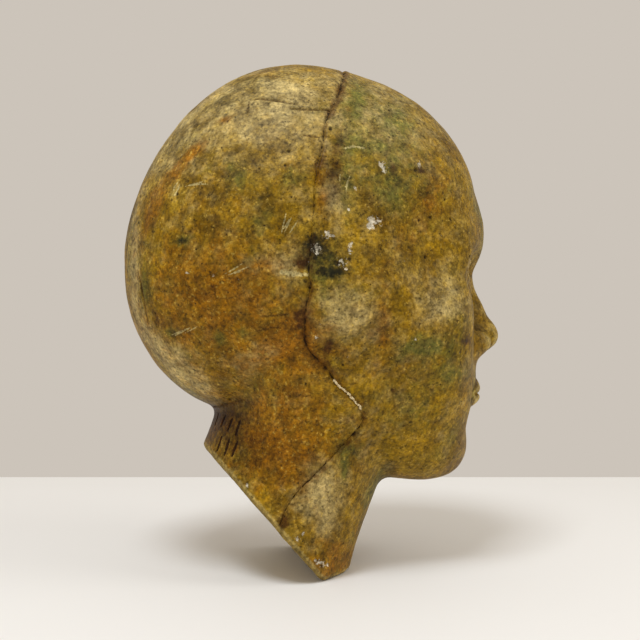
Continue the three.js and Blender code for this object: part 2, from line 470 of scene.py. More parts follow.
@dataclass(frozen=True)
class Mouth:
    """The closed mouth, as a swelling of the muzzle with the folds around it.

    Attributes:
        height: Height of the line between the lips.
        half_width: Half its length.
        line_dip: How that line dips in the middle.
        line_rise: How it rises beside the middle.
        upper_height: Height of the upper lip.
        lower_height: Height of the lower lip.
        thinnest: The height that both keep past the corners.
        bow_peak: The peak of the upper lip's border, as a share of its height.
        bow_notch: The notch between both peaks.
        upper_taper: How slowly the upper lip thins to the corners, slowest near 0.
        lower_taper: How slowly the lower lip gets lower there.
        lower_flattening: How slowly it gets flatter there.
        upper_fullness: How far the upper lip stands out.
        lower_fullness: How far the lower lip stands out.
        lip_start: How steeply a lip rises from the line, steepest near 0.
        lip_end: How gently it runs out at its border.
        lip_crest: The height of its crest before it is scaled to 1.
        groove: The groove between the nose and the upper lip, across.
        groove_top: Its upper end, along Z.
        groove_foot: Its lower end.
        corner_depth: Depth of the dimples at the corners.
        corner_size: Their size.
        chin_fold: The fold over the chin, up from the mouth's height.
        chin_fold_width: Half its length.
        front: Where the mouth fades in, along X.
    """

    height: float = -68.5
    half_width: float = 25.0
    line_dip: Rise = Rise(0.0, -0.8, 4.5)
    line_rise: Rise = Rise(9.0, 0.5, 5.0)
    upper_height: float = 9.0
    lower_height: float = 10.5
    thinnest: float = 0.01
    bow_peak: Rise = Rise(6.0, 0.1, 3.5)
    bow_notch: Rise = Rise(0.0, -0.12, 2.6)
    upper_taper: float = 0.7
    lower_taper: float = 0.75
    lower_flattening: float = 0.8
    upper_fullness: float = 3.4
    lower_fullness: float = 4.2
    lip_start: float = 0.55
    lip_end: float = 1.15
    lip_crest: float = 0.335
    groove: Rise = Rise(0.0, 1.2, 3.2)
    groove_top: Fade = Fade(-47.0, -4.0)
    groove_foot: Fade = Fade(-61.5, 4.0)
    corner_depth: float = 1.2
    corner_size: float = 4.0
    chin_fold: Rise = Rise(-15.0, 2.0, 5.0)
    chin_fold_width: float = 14.0
    front: Fade = Fade(60.0, 20.0)

    def roundness(self, share: Values) -> Values:
        """Give a lip's roundness from the mouth's line at 0 to its border at 1."""
        held = np.clip(share, 0.0, 1.0)
        return held**self.lip_start * (1.0 - held) ** self.lip_end / self.lip_crest

    def lips(self, side: Values, up: Values, line: Values) -> Values:
        """Give how far both lips stand out.

        Args:
            side: How far places lie beside the middle.
            up: Their heights.
            line: The height of the line between the lips there.

        Returns:
            The lips' height over the muzzle.
        """
        width = np.clip(1.0 - (side / self.half_width) ** 2, 0.0, 1.0)
        bow = 1.0 + self.bow_peak.over(side) + self.bow_notch.over(side)
        upper_height = self.upper_height * width**self.upper_taper * bow + self.thinnest
        lower_height = self.lower_height * width**self.lower_taper + self.thinnest
        upper = self.upper_fullness * width**self.upper_taper
        lower = self.lower_fullness * width**self.lower_flattening
        upper *= self.roundness((up - line) / upper_height)
        lower *= self.roundness((line - up) / lower_height)
        return upper + lower

    def swelling(self, points: Points) -> Values:
        """Give how far the lips stand out, less the folds around them.

        Args:
            points: Places in the head's frame.

        Returns:
            One height per place.
        """
        side = points[:, 1]
        up = points[:, 2]
        line = self.height + self.line_dip.over(side) + self.line_rise.over(side)
        ends = self.groove_foot.over(up) * self.groove_top.over(up)
        groove = self.groove.over(side) * ends
        corner = hill(side - self.half_width, self.corner_size) * hill(up - line, self.corner_size)
        chin_fold = hill(side, self.chin_fold_width) * self.chin_fold.over(up - self.height)
        folds = groove + self.corner_depth * corner + chin_fold
        return (self.lips(side, up, line) - folds) * self.front.over(points[:, 0])


@dataclass(frozen=True)
class Neck:
    """The leaning neck, with the cord from behind the ear to the throat.

    Attributes:
        at: A place on its axis.
        lean: Degrees that it leans ahead.
        half_depth: Half its depth from throat to nape.
        half_width: Half its width.
        top: How far above that place it ends, inside the head.
        cord: The cord on its flank.
        soft: Width of the fillet between neck and head.
    """

    at: Place = (-2.5, 0, -107)
    lean: float = 19.5
    half_depth: float = 49.0
    half_width: float = 52.0
    top: float = 80.0
    cord: Limb = Limb((-12, 41, -62), (8, 12, -165), 13, 9, soft=22)
    soft: float = 7.0

    def distance(self, points: Points) -> Values:
        """Give the distance to the neck, which runs on below its cut.

        Args:
            points: Places in the head's frame.

        Returns:
            One distance per place.
        """
        lean = math.radians(self.lean)
        ahead = points[:, 0] - self.at[0]
        up = points[:, 2] - self.at[2]
        across = ahead * math.cos(lean) - up * math.sin(lean)
        along = up * math.cos(lean) + ahead * math.sin(lean)
        round_off = np.hypot(across / self.half_depth, points[:, 1] / self.half_width) - 1.0
        column = round_off * (self.half_depth + self.half_width) / 2.0
        found = join(column, self.cord.distance(points), self.cord.soft)
        return np.maximum(found, along - self.top)


@dataclass(frozen=True)
class Stand:
    """How the head sits over its foot, and the two cuts under its neck.

    Attributes:
        ear_ahead: The ear hole's place along X.
        ear_height: The ear hole's height above the foot.
        nod: Degrees that the face looks down.
        cut_slope: Degrees that the cut rises towards the nape.
        cut_start: Where the sloping cut meets the foot, along X.
        edge_round: Width of the worn edge around both cuts.
        corner_round: Width of the worn edge between them.
    """

    ear_ahead: float = -14.1
    ear_height: float = 165.5
    nod: float = 1.5
    cut_slope: float = 49.5
    cut_start: float = -11.2
    edge_round: float = 2.5
    corner_round: float = 2.0

    def to_foot(self, points: Points) -> Points:
        """Turn places in the head's own frame into places over the foot.

        Args:
            points: Places in the head's frame.

        Returns:
            The same places, with the foot at height 0.
        """
        turn = math.radians(self.nod)
        ahead = self.ear_ahead + math.cos(turn) * points[:, 0] + math.sin(turn) * points[:, 2]
        up = self.ear_height - math.sin(turn) * points[:, 0] + math.cos(turn) * points[:, 2]
        return np.stack([ahead, points[:, 1], up], 1)

    def slope_distance(self, points: Points) -> Values:
        """Give how far places in the head's frame lie outside the sloping cut.

        Args:
            points: Places in the head's frame.

        Returns:
            One distance per place.
        """
        stood = self.to_foot(points)
        slope = math.radians(self.cut_slope)
        ahead = stood[:, 0] - self.cut_start
        return -ahead * math.sin(slope) - stood[:, 2] * math.cos(slope)

    def cut_away(self, found: Values, points: Points) -> Values:
        """Cut a mass off above the foot and along the slope, with worn edges.

        Args:
            found: Distances to the mass.
            points: The places they were found at, in the head's frame.

        Returns:
            The distances to what stays.
        """
        foot = -self.to_foot(points)[:, 2]
        cuts = scoop(self.slope_distance(points), -foot, self.corner_round)
        return scoop(found, -cuts, self.edge_round)


@dataclass(frozen=True)
class Search:
    """How a ray is followed inwards until it meets the head.

    Attributes:
        start: Where it starts, outside the head.
        end: Where it is given up.
        step: The length of each step inwards.
        halvings: How often the last step is then halved.
    """

    start: float
    end: float
    step: float
    halvings: int


@dataclass(frozen=True)
class HeadForm:
    """The whole head's smooth form, joined of its parts.

    Attributes:
        core: The place inside that the whole surface can be seen from.
        from_core: How rays from the core find the surface.
        from_side: How rays from beside the head find it.
        slack: How far the surface may lie from a guess, to be found from it at once.
    """

    skull: Skull = Skull()
    cheeks: Cheeks = Cheeks()
    jaw: Jaw = Jaw()
    muzzle: Muzzle = Muzzle()
    brow: Brow = Brow()
    nose: Nose = Nose()
    eye: Eye = Eye()
    mouth: Mouth = Mouth()
    neck: Neck = Neck()
    stand: Stand = Stand()
    core: Place = (0, 0, -8)
    from_core: Search = Search(200.0, 3.0, 3.0, 14)
    from_side: Search = Search(150.0, -60.0, 2.0, 12)
    slack: float = 8.0

    def distance(self, points: Points) -> Values:
        """Give the distance to the head, both halves alike.

        Args:
            points: Places in the head's frame.

        Returns:
            One distance per place.
        """
        half = np.stack([points[:, 0], np.abs(points[:, 1]), points[:, 2]], 1)
        found = self.skull.distance(half)
        for mass in (self.cheeks, self.jaw, self.muzzle, self.brow):
            found = join(found, mass.distance(half), mass.soft)
        found = found + self.eye.hollow(half)
        found = join(found, self.nose.distance(half), self.nose.soft)
        found = join(found, self.eye.distance(half), self.eye.soft)
        found = found - self.mouth.swelling(half)
        found = join(found, self.neck.distance(half), self.neck.soft)
        found = found - self.skull.ear_stump(half)
        return self.stand.cut_away(found, half)

    def bend(self, points: Points, step: float) -> Values:
        """Give how strongly the form bends, over 0 on ridges and under 0 in creases.

        Args:
            points: Places on the form.
            step: How far around each place to feel for it.

        Returns:
            The bend at each place, per millimetre.
        """
        around = np.zeros(len(points))
        for axis in range(3):
            for way in (-step, step):
                moved = points.copy()
                moved[:, axis] += way
                around += self.distance(moved)
        return (around - 6.0 * self.distance(points)) / step**2

    def outside(self, starts: Points, ways: Points, reaches: Values) -> np.ndarray:
        """Tell which rays lie outside the head at their reaches."""
        return self.distance(starts + ways * reaches[:, None]) > 0.0

    def between(self, starts: Points, ways: Points, inner: Values, outer: Values, halvings: int) -> Values:
        """Find the surface along rays between two reaches.

        Args:
            starts: Where the rays start.
            ways: Their directions.
            inner: Reaches inside the head.
            outer: Reaches outside it.
            halvings: How often the gap between them is halved.

        Returns:
            One reach per ray.
        """
        for _ in range(halvings):
            middle = (inner + outer) / 2.0
            out = self.outside(starts, ways, middle)
            outer = np.where(out, middle, outer)
            inner = np.where(out, inner, middle)
        return (inner + outer) / 2.0

    def met(self, starts: Points, ways: Points, search: Search) -> Values:
        """Find where rays meet the head, searching inwards from far out.

        Args:
            starts: Where the rays start.
            ways: Their directions.
            search: How they are followed.

        Returns:
            One reach per ray.
        """
        inner = np.full(max(len(starts), len(ways)), search.start)
        looking = self.outside(starts, ways, inner)
        while looking.any():
            inner = np.where(looking, inner - search.step, inner)
            looking = self.outside(starts, ways, inner) & (inner > search.end)
        return self.between(starts, ways, inner, inner + search.step, search.halvings)

    def radii(self, directions: Points, guess: Values | None = None) -> Values:
        """Find the surface along rays from the head's core.

        Args:
            directions: Unit directions.
            guess: Radii near the surface, where they are known.

        Returns:
            One radius per direction.
        """
        core = np.array([self.core])
        if guess is None:
            return self.met(core, directions, self.from_core)
        inner = guess - self.slack
        outer = guess + self.slack
        inner = np.where(self.outside(core, directions, inner), inner - 2 * self.slack, inner)
        outer = np.where(self.outside(core, directions, outer), outer, outer + 2 * self.slack)
        return self.between(core, directions, inner, outer, self.from_core.halvings)

    def laid_on(self, flank: "Flank", seen: Points) -> Points:
        """Lay places on the head where they are seen from a flank.

        Args:
            flank: The side, and the way that it is looked at.
            seen: How far ahead and up each place is seen.

        Returns:
            The places on the surface nearest to the viewer.
        """
        ahead, up, toward = flank.ways()
        flat = seen[:, :1] * ahead + seen[:, 1:2] * up
        return flat + self.met(flat, toward[None], self.from_side)[:, None] * toward


class RoundMesh:
    """A closed mesh around the head's core that gets finer where it is asked to."""

    def __init__(self, form: HeadForm, detail: int = 5) -> None:
        """Start from a round mesh laid on the head.

        Args:
            form: The head's form.
            detail: Subdivisions of the starting sphere.
        """
        self.form = form
        ball = bmesh.new()
        bmesh.ops.create_icosphere(ball, subdivisions=detail, radius=1.0)
        self.directions = np.array([corner.co for corner in ball.verts])
        self.directions /= lengths(self.directions)[:, None]
        self.faces = np.array([[corner.index for corner in face.verts] for face in ball.faces])
        ball.free()
        self.radii = form.radii(self.directions)

    def places(self) -> Points:
        """Give the mesh's corners in the head's frame."""
        return np.array(self.form.core) + self.directions * self.radii[:, None]

    def normals(self) -> Points:
        """Give the direction that the mesh faces at each of its corners.

        Returns:
            One unit direction per corner.
        """
        places = self.places()
        a, b, c = (places[self.faces[:, side]] for side in range(3))
        faced = np.cross(b - a, c - a)
        normals = np.zeros_like(places)
        for side in range(3):
            np.add.at(normals, self.faces[:, side], faced)
        return normals / lengths(normals)[:, None]

    def refine(self, wanted: Callable[[Points], Values], finest: float) -> int:
        """Split every edge that is longer than wanted at its middle, once.

        Args:
            wanted: Gives the longest edge allowed at each of some places.
            finest: The shortest of these anywhere.

        Returns:
            How many edges were split.
        """
        sides = np.concatenate([self.faces[:, [0, 1]], self.faces[:, [1, 2]], self.faces[:, [2, 0]]])
        edges, place_of_side = np.unique(np.sort(sides, 1), axis=0, return_inverse=True)
        place_of_side = place_of_side.reshape(-1)
        places = self.places()
        starts = places[edges[:, 0]]
        ends = places[edges[:, 1]]
        spans = lengths(starts - ends)
        split = spans > finest
        split[split] = spans[split] > wanted((starts[split] + ends[split]) / 2.0)
        middle = np.full(len(edges), -1)
        middle[split] = len(places) + np.arange(split.sum())
        core = np.array(self.form.core)
        rays = (starts[split] + ends[split]) / 2.0 - core
        reaches = lengths(rays)
        new_directions = rays / reaches[:, None]
        new_radii = self.form.radii(new_directions, reaches)
        self.directions = np.concatenate([self.directions, new_directions])
        self.radii = np.concatenate([self.radii, new_radii])
        self.faces = self.split_faces(middle[place_of_side].reshape(3, -1).T)
        return int(split.sum())

    def split_faces(self, middles: np.ndarray) -> np.ndarray:
        """Split the faces at the middles of their sides, where there are any.

        Args:
            middles: For each face the corner in the middle of each side, or -1.

        Returns:
            The new faces, turned the same way round.
        """
        marked = (middles >= 0).sum(1)
        made = [self.faces[marked == 0]]
        a, b, c = self.faces[marked == 3].T
        ab, bc, ca = middles[marked == 3].T
        made += [np.stack(face, 1) for face in ((a, ab, ca), (ab, b, bc), (ca, bc, c), (ab, bc, ca))]
        for first in range(3):
            second = (first + 1) % 3
            third = (first + 2) % 3
            one = (marked == 1) & (middles[:, first] >= 0)
            start, end, apex = self.faces[one][:, [first, second, third]].T
            middle = middles[one][:, first]
            made += [np.stack([start, middle, apex], 1), np.stack([middle, end, apex], 1)]
            two = (marked == 2) & (middles[:, first] < 0)
            start, end, apex = self.faces[two][:, [first, second, third]].T
            end_side = middles[two][:, second]
            start_side = middles[two][:, third]
            made += [
                np.stack([start_side, end_side, apex], 1),
                np.stack([start, end, end_side], 1),
                np.stack([start, end_side, start_side], 1),
            ]
        return np.concatenate(made)


# The worn surface


def linear(colour: str) -> tuple[float, float, float, float]:
    """Turn an sRGB hex colour into the linear colour that nodes take.

    Args:
        colour: The hex colour, after its sharp sign.

    Returns:
        Red, green, blue and alpha.
    """
    levels = [int(colour[at : at + 2], 16) / 255.0 for at in (1, 3, 5)]
    red, green, blue = (
        level / 12.92 if level <= 0.04045 else ((level + 0.055) / 1.055) ** 2.4 for level in levels
    )
    return red, green, blue, 1.0


class Tone(enum.Enum):
    """A wash of the patina; its value names the mesh attribute that places it."""

    # PALE is partly rubbed pale plaster and partly painted light on the crown, with a painted highlight
    # there
    PALE = "rubbed_pale_and_painted_light"
    GREEN = "green_wash"
    OCHRE = "ochre_wash"
    UMBER = "umber_wash"
    SOOT = "soot_stain"


class Wear(enum.Enum):
    """A kind of mark; its value names the mesh attribute that shows it."""

    GROOVE = "groove"
    STROKE = "stroke"
    CHIP = "chip"
    PIT = "pit"
    SCRATCH = "scratch"


SEAM_OFFSET = "seam_offset"
SEAM_STAIN = "seam_stain"
HOLLOW = "hollow"
# The crease attribute places painted shade in the form's creases and broad hollows, with some dirt in the
# sharp creases
CREASE_SHADE_AND_DIRT = "crease"
RIDGE = "ridge"
CUT_FACE = "cut_face"

# How far the attributes of marks and of the seam reach, in half widths
MARK_REACH = 2.0
SEAM_REACH = 6.0

# The weakest stain along the seam, and half the width of a crack with a full one
LEAST_SEAM_STAIN = 0.3
WIDE_CRACK = 0.5

# The height of fine relief in millimetres from the dirtiest hollow to clean skin
HOLLOW_DEPTH = 0.4

# Spacing in millimetres of the points along marks and along the seam
SHORT_STEP = 0.5


@dataclass(frozen=True)
class Flank:
    """One side of the head, seen level and from a little behind.

    Attributes:
        side: The side of the head.
        behind: Degrees that the view lies behind the middle of the side.
        turned_away: How far a surface turns from its facing half before stains end on it.
    """

    side: Side
    behind: float = 12.5
    turned_away: float = 0.4

    def ways(self) -> Points:
        """Give the directions that look ahead, up and towards the viewer.

        Returns:
            Three unit directions, one in each row.
        """
        turn = math.radians(self.behind)
        sign = self.side.value
        ahead = (math.cos(turn), sign * math.sin(turn), 0.0)
        toward = (-math.sin(turn), sign * math.cos(turn), 0.0)
        return np.array([ahead, (0.0, 0.0, 1.0), toward])

    def seen(self, points: Points) -> Points:
        """Give how far ahead and up places are seen, and their depth."""
        return points @ self.ways().T

    def facing(self, normals: Points) -> Values:
        """Give 1 where the surface faces the viewer and 0 where it faces away."""
        return ease(normals @ self.ways()[2] / self.turned_away + 0.5)


RIGHT = Flank(Side.RIGHT)
LEFT = Flank(Side.LEFT)


@dataclass(frozen=True)
class Stain:
    """A soft patch of a wash; some pale patches are painted light.

    Attributes:
        ahead: How far ahead its middle is seen from its flank.
        up: How high it is.
        half_length: Its half length.
        half_height: Its half height.
        turn: Degrees that its front end is turned up.
        strength: How strong it is in its middle, 0 to 1.
    """

    ahead: float
    up: float
    half_length: float
    half_height: float
    turn: float
    strength: float

    def shade(self, seen: Points) -> Values:
        """Give the wash at places seen from the stain's flank.

        Args:
            seen: How far ahead and up each place is seen.

        Returns:
            The wash, 0 to 1.
        """
        turn = math.radians(self.turn)
        ahead = seen[:, 0] - self.ahead
        up = seen[:, 1] - self.up
        along = (ahead * math.cos(turn) + up * math.sin(turn)) / self.half_length
        across = (up * math.cos(turn) - ahead * math.sin(turn)) / self.half_height
        return self.strength * np.exp(-(along**2) - across**2)


@dataclass(frozen=True)
class Mark:
    """A line or spot that is cut into the surface or broken out of it.

    Attributes:
        wear: Its kind.
        path: Its points as they are seen from its flank, one for a spot.
        half_width: Half its width.
        depth: How deep it goes.
        ragged: How uneven its edge is, as a share of its half width.
        flank: The side that it is on.
    """

    wear: Wear
    path: tuple[Pair, ...]
    half_width: float
    depth: float
    ragged: float = 0.3
    flank: Flank = RIGHT

    def trail(self) -> Points:
        """Give points along the mark, a short step apart.

        Returns:
            How far ahead and up each point is seen.
        """
        corners = np.array(self.path, float)
        if len(corners) == 1:
            return corners
        runs = lengths(np.diff(corners, axis=0))
        along = np.concatenate([[0.0], np.cumsum(runs)])
        steps = np.arange(0.0, along[-1], SHORT_STEP)
        return np.stack([np.interp(steps, along, corners[:, axis]) for axis in range(2)], 1)


class LaidMark:
    """A mark in its place on the head.

    Attributes:
        end_width: The width of its ends, as a share of its middle's.
        margin: How far around it, past three half widths, the mesh is made finer.
        notch: Size of the unevenness of its edge, in half widths.
        smallest_notch: The least size of that, in millimetres.
    """

    end_width = 0.35
    margin = 3.0
    notch = 1.2
    smallest_notch = 0.8

    def __init__(self, mark: Mark, places: Points) -> None:
        """Keep a mark with the places on the head that it runs through.

        Args:
            mark: The mark.
            places: Places along it in the head's frame.
        """
        self.mark = mark
        self.places = places
        along = np.linspace(0.0, math.pi, len(places)) if len(places) > 1 else np.array([math.pi / 2])
        self.taper = self.end_width + (1.0 - self.end_width) * np.sqrt(np.sin(along))
        border = 3.0 * mark.half_width + self.margin
        self.low = places.min(0) - border
        self.high = places.max(0) + border

    def near(self, points: Points) -> tuple[np.ndarray, Points]:
        """Give the numbers of the points near the mark, and their distances to its places.

        Args:
            points: Places in the head's frame.

        Returns:
            The near points' numbers, and a row of distances for each.
        """
        close = np.flatnonzero((points[:, 2] > self.low[2]) & (points[:, 2] < self.high[2]))
        inside = (points[close] > self.low) & (points[close] < self.high)
        close = close[inside.all(1)]
        return close, np.linalg.norm(points[close, None] - self.places[None], axis=2)

    def shares(self, points: Points) -> tuple[np.ndarray, Values]:
        """Give near points and their distances, 1 at the mark's uneven edge.

        Args:
            points: Places in the head's frame.

        Returns:
            The near points' numbers, and a distance for each.
        """
        close, gaps = self.near(points)
        if not len(close):
            return close, np.zeros(0)
        half_width = self.mark.half_width
        notch = max(half_width * self.notch, self.smallest_notch)
        edge = Unevenness(self.mark.ragged, notch, Pattern.MARK_EDGES, 2)
        shares = (gaps / (half_width * self.taper)).min(1) + edge.over(points[close])
        return close, np.maximum(shares, 0.0)


@dataclass(frozen=True)
class Seam:
    """The joint between the mould's front and back, which the casting kept.

    Attributes:
        line: Points of its right half, each ahead, up and half as wide as the crack.
        lowest: The height where the line is taken to end, under the foot.
        highest: The height where it ends, over the crown.
        smoothing: Length over which its corners are rounded.
        strays: How it strays from its line.
        corners: Its small corners.
        beside: How far beside its line it strays at all.
        crack_depth: How deep the crack is.
        crack_edge: Width of the crack's slope, past its half width.
        step: How much prouder the front half stands.
        step_width: Width of that step.
        step_reach: How far beside the seam the halves level out again.
        flash: The flash that was left before it.
        stain: The stain along it.
    """

    line: tuple[Place, ...] = (
        (19, 113, 0.4),
        (15, 103, 0.45),
        (10, 94, 0.45),
        (6, 85, 0.45),
        (2, 77, 0.6),
        (-2, 69, 0.4),
        (-5, 53, 0.35),
        (-8, 45, 0.5),
        (-9, 35, 0.22),
        (-9, 18, 0.18),
        (-10, 9, 0.3),
        (-11, -5, 0.35),
        (-10, -14, 0.35),
        (-12, -23, 0.45),
        (-12, -30, 0.6),
        (-11, -37, 0.5),
        (-9, -44, 0.42),
        (-2, -51, 0.42),
        (3, -55, 0.5),
        (5, -59, 0.35),
        (13, -66, 0.3),
        (21, -73, 0.3),
        (24, -80, 0.4),
        (21, -87, 0.35),
        (14, -94, 0.38),
        (6, -102, 0.35),
        (-3, -111, 0.33),
        (-10, -118, 0.28),
        (-14, -124, 0.2),
        (-17, -131, 0.28),
        (-19, -140, 0.3),
    )
    lowest: float = -170.0
    highest: float = 130.0
    smoothing: float = 5.0
    strays: Unevenness = Unevenness(0.9, 16.0, Pattern.SEAM_STRAYS, 1)
    corners: Unevenness = Unevenness(0.45, 3.0, Pattern.SEAM_CORNERS, 2)
    beside: float = 15.0
    crack_depth: float = 1.1
    crack_edge: float = 0.35
    step: float = 0.3
    step_width: float = 1.6
    step_reach: float = 10.0
    flash: Rise = Rise(1.8, 0.3, 1.3)
    stain: Rise = Rise(0.6, 1.0, 3.0)

    def offsets(self, points: Points) -> tuple[Values, Values]:
        """Give how far places lie ahead of the seam, and the crack's half width there.

        Args:
            points: Places in the head's frame.

        Returns:
            The distances ahead of the seam, and the half widths.
        """
        heights = np.arange(self.lowest, self.highest, SHORT_STEP)
        ahead, up, width = np.array(self.line)[::-1].T
        taps = np.hanning(int(self.smoothing / SHORT_STEP) * 2 + 1)
        rough = np.interp(heights, up, ahead)
        padded = np.pad(rough, len(taps) // 2, mode="edge")
        smooth = np.convolve(padded, taps / taps.sum(), mode="valid")
        slope = np.gradient(smooth, heights)
        offset = points[:, 0] - np.interp(points[:, 2], heights, smooth)
        offset /= np.hypot(1.0, np.interp(points[:, 2], heights, slope))
        beside = np.flatnonzero(np.abs(offset) < self.beside)
        offset[beside] -= self.strays.over(points[beside]) + self.corners.over(points[beside])
        return offset, np.interp(points[:, 2], up, width)

    def relief(self, offset: Values, half_width: Values) -> Values:
        """Give the crack, the step across it and the flash beside it.

        Args:
            offset: Distances ahead of the seam.
            half_width: Half the crack's width there.

        Returns:
            One height per place.
        """
        crack = self.crack_depth * hill(offset, half_width + self.crack_edge)
        step = self.step * (ease(offset / self.step_width + 0.5) - 0.5) * hill(offset, self.step_reach)
        return step + self.flash.over(offset) - crack


@dataclass(frozen=True)
class WornSkin:
    """The low relief, the washes and the painted light and shade of the head, worked out on its mesh.

    Attributes:
        form: The head's smooth form.
        seam: The joint of the mould.
        marks: The marks in their places.
        plain_edge: The longest mesh edge on the plain skin.
        face_edge: The longest on the eyes, the nose and the mouth.
        mark_edge: The longest on the seam and the marks.
        rim_edge: The longest on the rim of the sloping cut.
        edge_growth: How much longer they get for each millimetre away from these.
        rim_growth: The same, away from the rim.
        rim_reach: How far from the rim that still counts.
        eye_margin: How far past the eyeball the mesh is fine.
        nose_reach: How far around the tip of the nose it is.
        lips_at: The middle of the mouth.
        lips_reach: How far around it the mesh is fine.
        seam_margin: How far beside the seam it is.
        mark_margin: How far past a mark's half width it is.
        cut_blend: Width over which the skin turns into the sloping cut.
        foot_blend: The same at the foot.
        cut_shift: How far, in these widths, the cut's finish reaches round its edge.
        swells: The broad unevenness.
        lumps: The small lumps.
        streaks: The tool's streaks, in streaks.
        streak_size: A streak's width, its length and no third size.
        streaks_back: Where they fade in, along X.
        streaks_up: Where they fade in, along Z.
        vault_radius: The radius that turns angles around the crown into lengths.
        cut_lumps: The unevenness of the cut faces.
        mark_wall: The side of a mark, from its rim inwards, in half widths.
        near_feel: How far around a place a sharp bend is felt.
        far_feel: How far around it a broad bend is felt.
        near_bend: The bend per millimetre that makes a full crease or ridge.
        far_bend: The same for a broad one.
        far_share: How much a broad crease counts beside a sharp one.
        plain_bend: The bend of plain round skin, which isn't a ridge yet.
    """

    form: HeadForm
    seam: Seam
    marks: list[LaidMark]
    plain_edge: float = 2.6
    face_edge: float = 1.25
    mark_edge: float = 0.8
    rim_edge: float = 1.6
    edge_growth: float = 0.45
    rim_growth: float = 0.3
    rim_reach: float = 9.0
    eye_margin: float = 4.0
    nose_reach: float = 18.0
    lips_at: Place = (82.0, 0.0, -68.0)
    lips_reach: float = 23.0
    seam_margin: float = 1.6
    mark_margin: float = 0.4
    cut_blend: float = 1.2
    foot_blend: float = 0.8
    cut_shift: float = 1.6
    swells: Unevenness = Unevenness(0.55, 34.0, Pattern.SWELLS, 2)
    lumps: Unevenness = Unevenness(0.18, 9.0, Pattern.LUMPS, 3)
    streaks: Unevenness = Unevenness(0.22, 1.0, Pattern.STREAKS, 2)
    streak_size: Place = (4.5, 55.0, 1.0)
    streaks_back: Fade = Fade(20.0, -50.0)
    streaks_up: Fade = Fade(-55.0, 30.0)
    vault_radius: float = 95.0
    cut_lumps: Unevenness = Unevenness(0.5, 9.0, Pattern.CUT_FACES, 3)
    mark_wall: Fade = Fade(1.25, -0.6)
    near_feel: float = 1.5
    far_feel: float = 7.0
    near_bend: float = 0.2
    far_bend: float = 0.1
    far_share: float = 0.6
    plain_bend: float = 0.05

    def wanted_edge(self, points: Points) -> Values:
        """Give the longest mesh edge that is fine enough at each place.

        Args:
            points: Places in the head's frame.

        Returns:
            One length per place.
        """
        half = points * (1.0, 0.0, 1.0) + np.abs(points) * (0.0, 1.0, 0.0)
        wanted = np.full(len(points), self.plain_edge)
        eye = self.form.eye
        features = (
            (eye.at, eye.radius + self.eye_margin),
            (self.form.nose.tip.at, self.nose_reach),
            (self.lips_at, self.lips_reach),
        )
        for middle, reach in features:
            gaps = lengths(half - np.array(middle)) - reach
            wanted = np.minimum(wanted, self.face_edge + self.edge_growth * np.maximum(gaps, 0.0))
        offset, _ = self.seam.offsets(points)
        beside = np.maximum(np.abs(offset) - self.seam_margin, 0.0)
        wanted = np.minimum(wanted, self.mark_edge + self.edge_growth * beside)
        for laid in self.marks:
            close, gaps = laid.near(points)
            if not len(close):
                continue
            beside = np.maximum(gaps.min(1) - laid.mark.half_width - self.mark_margin, 0.0)
            fine = self.mark_edge + self.edge_growth * beside
            wanted[close] = np.minimum(wanted[close], fine)
        wanted = np.where(self.cut_share(points) > 0.5, self.plain_edge, wanted)
        rim = np.minimum(np.abs(self.form.stand.slope_distance(points)), self.rim_reach)
        return np.minimum(wanted, self.rim_edge + self.rim_growth * rim)

    def cut_share(self, points: Points) -> Values:
        """Give 1 on the cut faces under the neck and 0 on the skin.

        Args:
            points: Places in the head's frame.

        Returns:
            One share per place.
        """
        stand = self.form.stand
        slope = stand.slope_distance(points) / self.cut_blend
        foot = stand.to_foot(points)[:, 2] / self.foot_blend
        return np.maximum(ease(slope + self.cut_shift), ease(self.cut_shift - foot))

    def comb(self, points: Points) -> Points:
        """Give places across the head and along its outline from the crown, in streaks."""
        along = np.arctan2(points[:, 0], points[:, 2] - self.form.core[2]) * self.vault_radius
        return np.stack([points[:, 1], along, np.zeros(len(points))], 1) / self.streak_size

    def fine_relief(self, points: Points) -> Values:
        """Give the small lumps, and the tool's long streaks over the back of the skull."""
        behind = self.streaks_back.over(points[:, 0]) * self.streaks_up.over(points[:, 2])
        return self.lumps.over(points) + self.streaks.over(self.comb(points)) * behind

    def relief(self, points: Points) -> Values:
        """Give how far the worn surface stands out of the smooth form.

        Args:
            points: Places in the head's frame.

        Returns:
            One height per place.
        """
        on_cut = self.cut_share(points)
        skin = self.swells.over(points) + self.fine_relief(points)
        skin += self.seam.relief(*self.seam.offsets(points))
        depths = np.zeros(len(points))
        for laid in self.marks:
            close, shares = laid.shares(points)
            depth = laid.mark.depth * self.mark_wall.over(shares)
            depths[close] = np.maximum(depths[close], depth)
        return skin * (1.0 - on_cut) + self.cut_lumps.over(points) * on_cut - depths

    def washes(self, points: Points, normals: Points) -> dict[str, Values]:
        """Work out how strong each wash is at the mesh's corners.

        Args:
            points: The mesh's corners.
            normals: The directions that they face.

        Returns:
            The values of each wash's attribute, by its name.
        """
        found: dict[str, Values] = {}
        for tone in Tone:
            bare = np.ones(len(points))
            for flank, groups in STAINS.items():
                seen = flank.seen(points)
                facing = flank.facing(normals)
                for group in groups:
                    for row in group.get(tone, ()):
                        bare *= 1.0 - Stain(*row).shade(seen) * facing
            found[tone.value] = 1.0 - bare
        return found

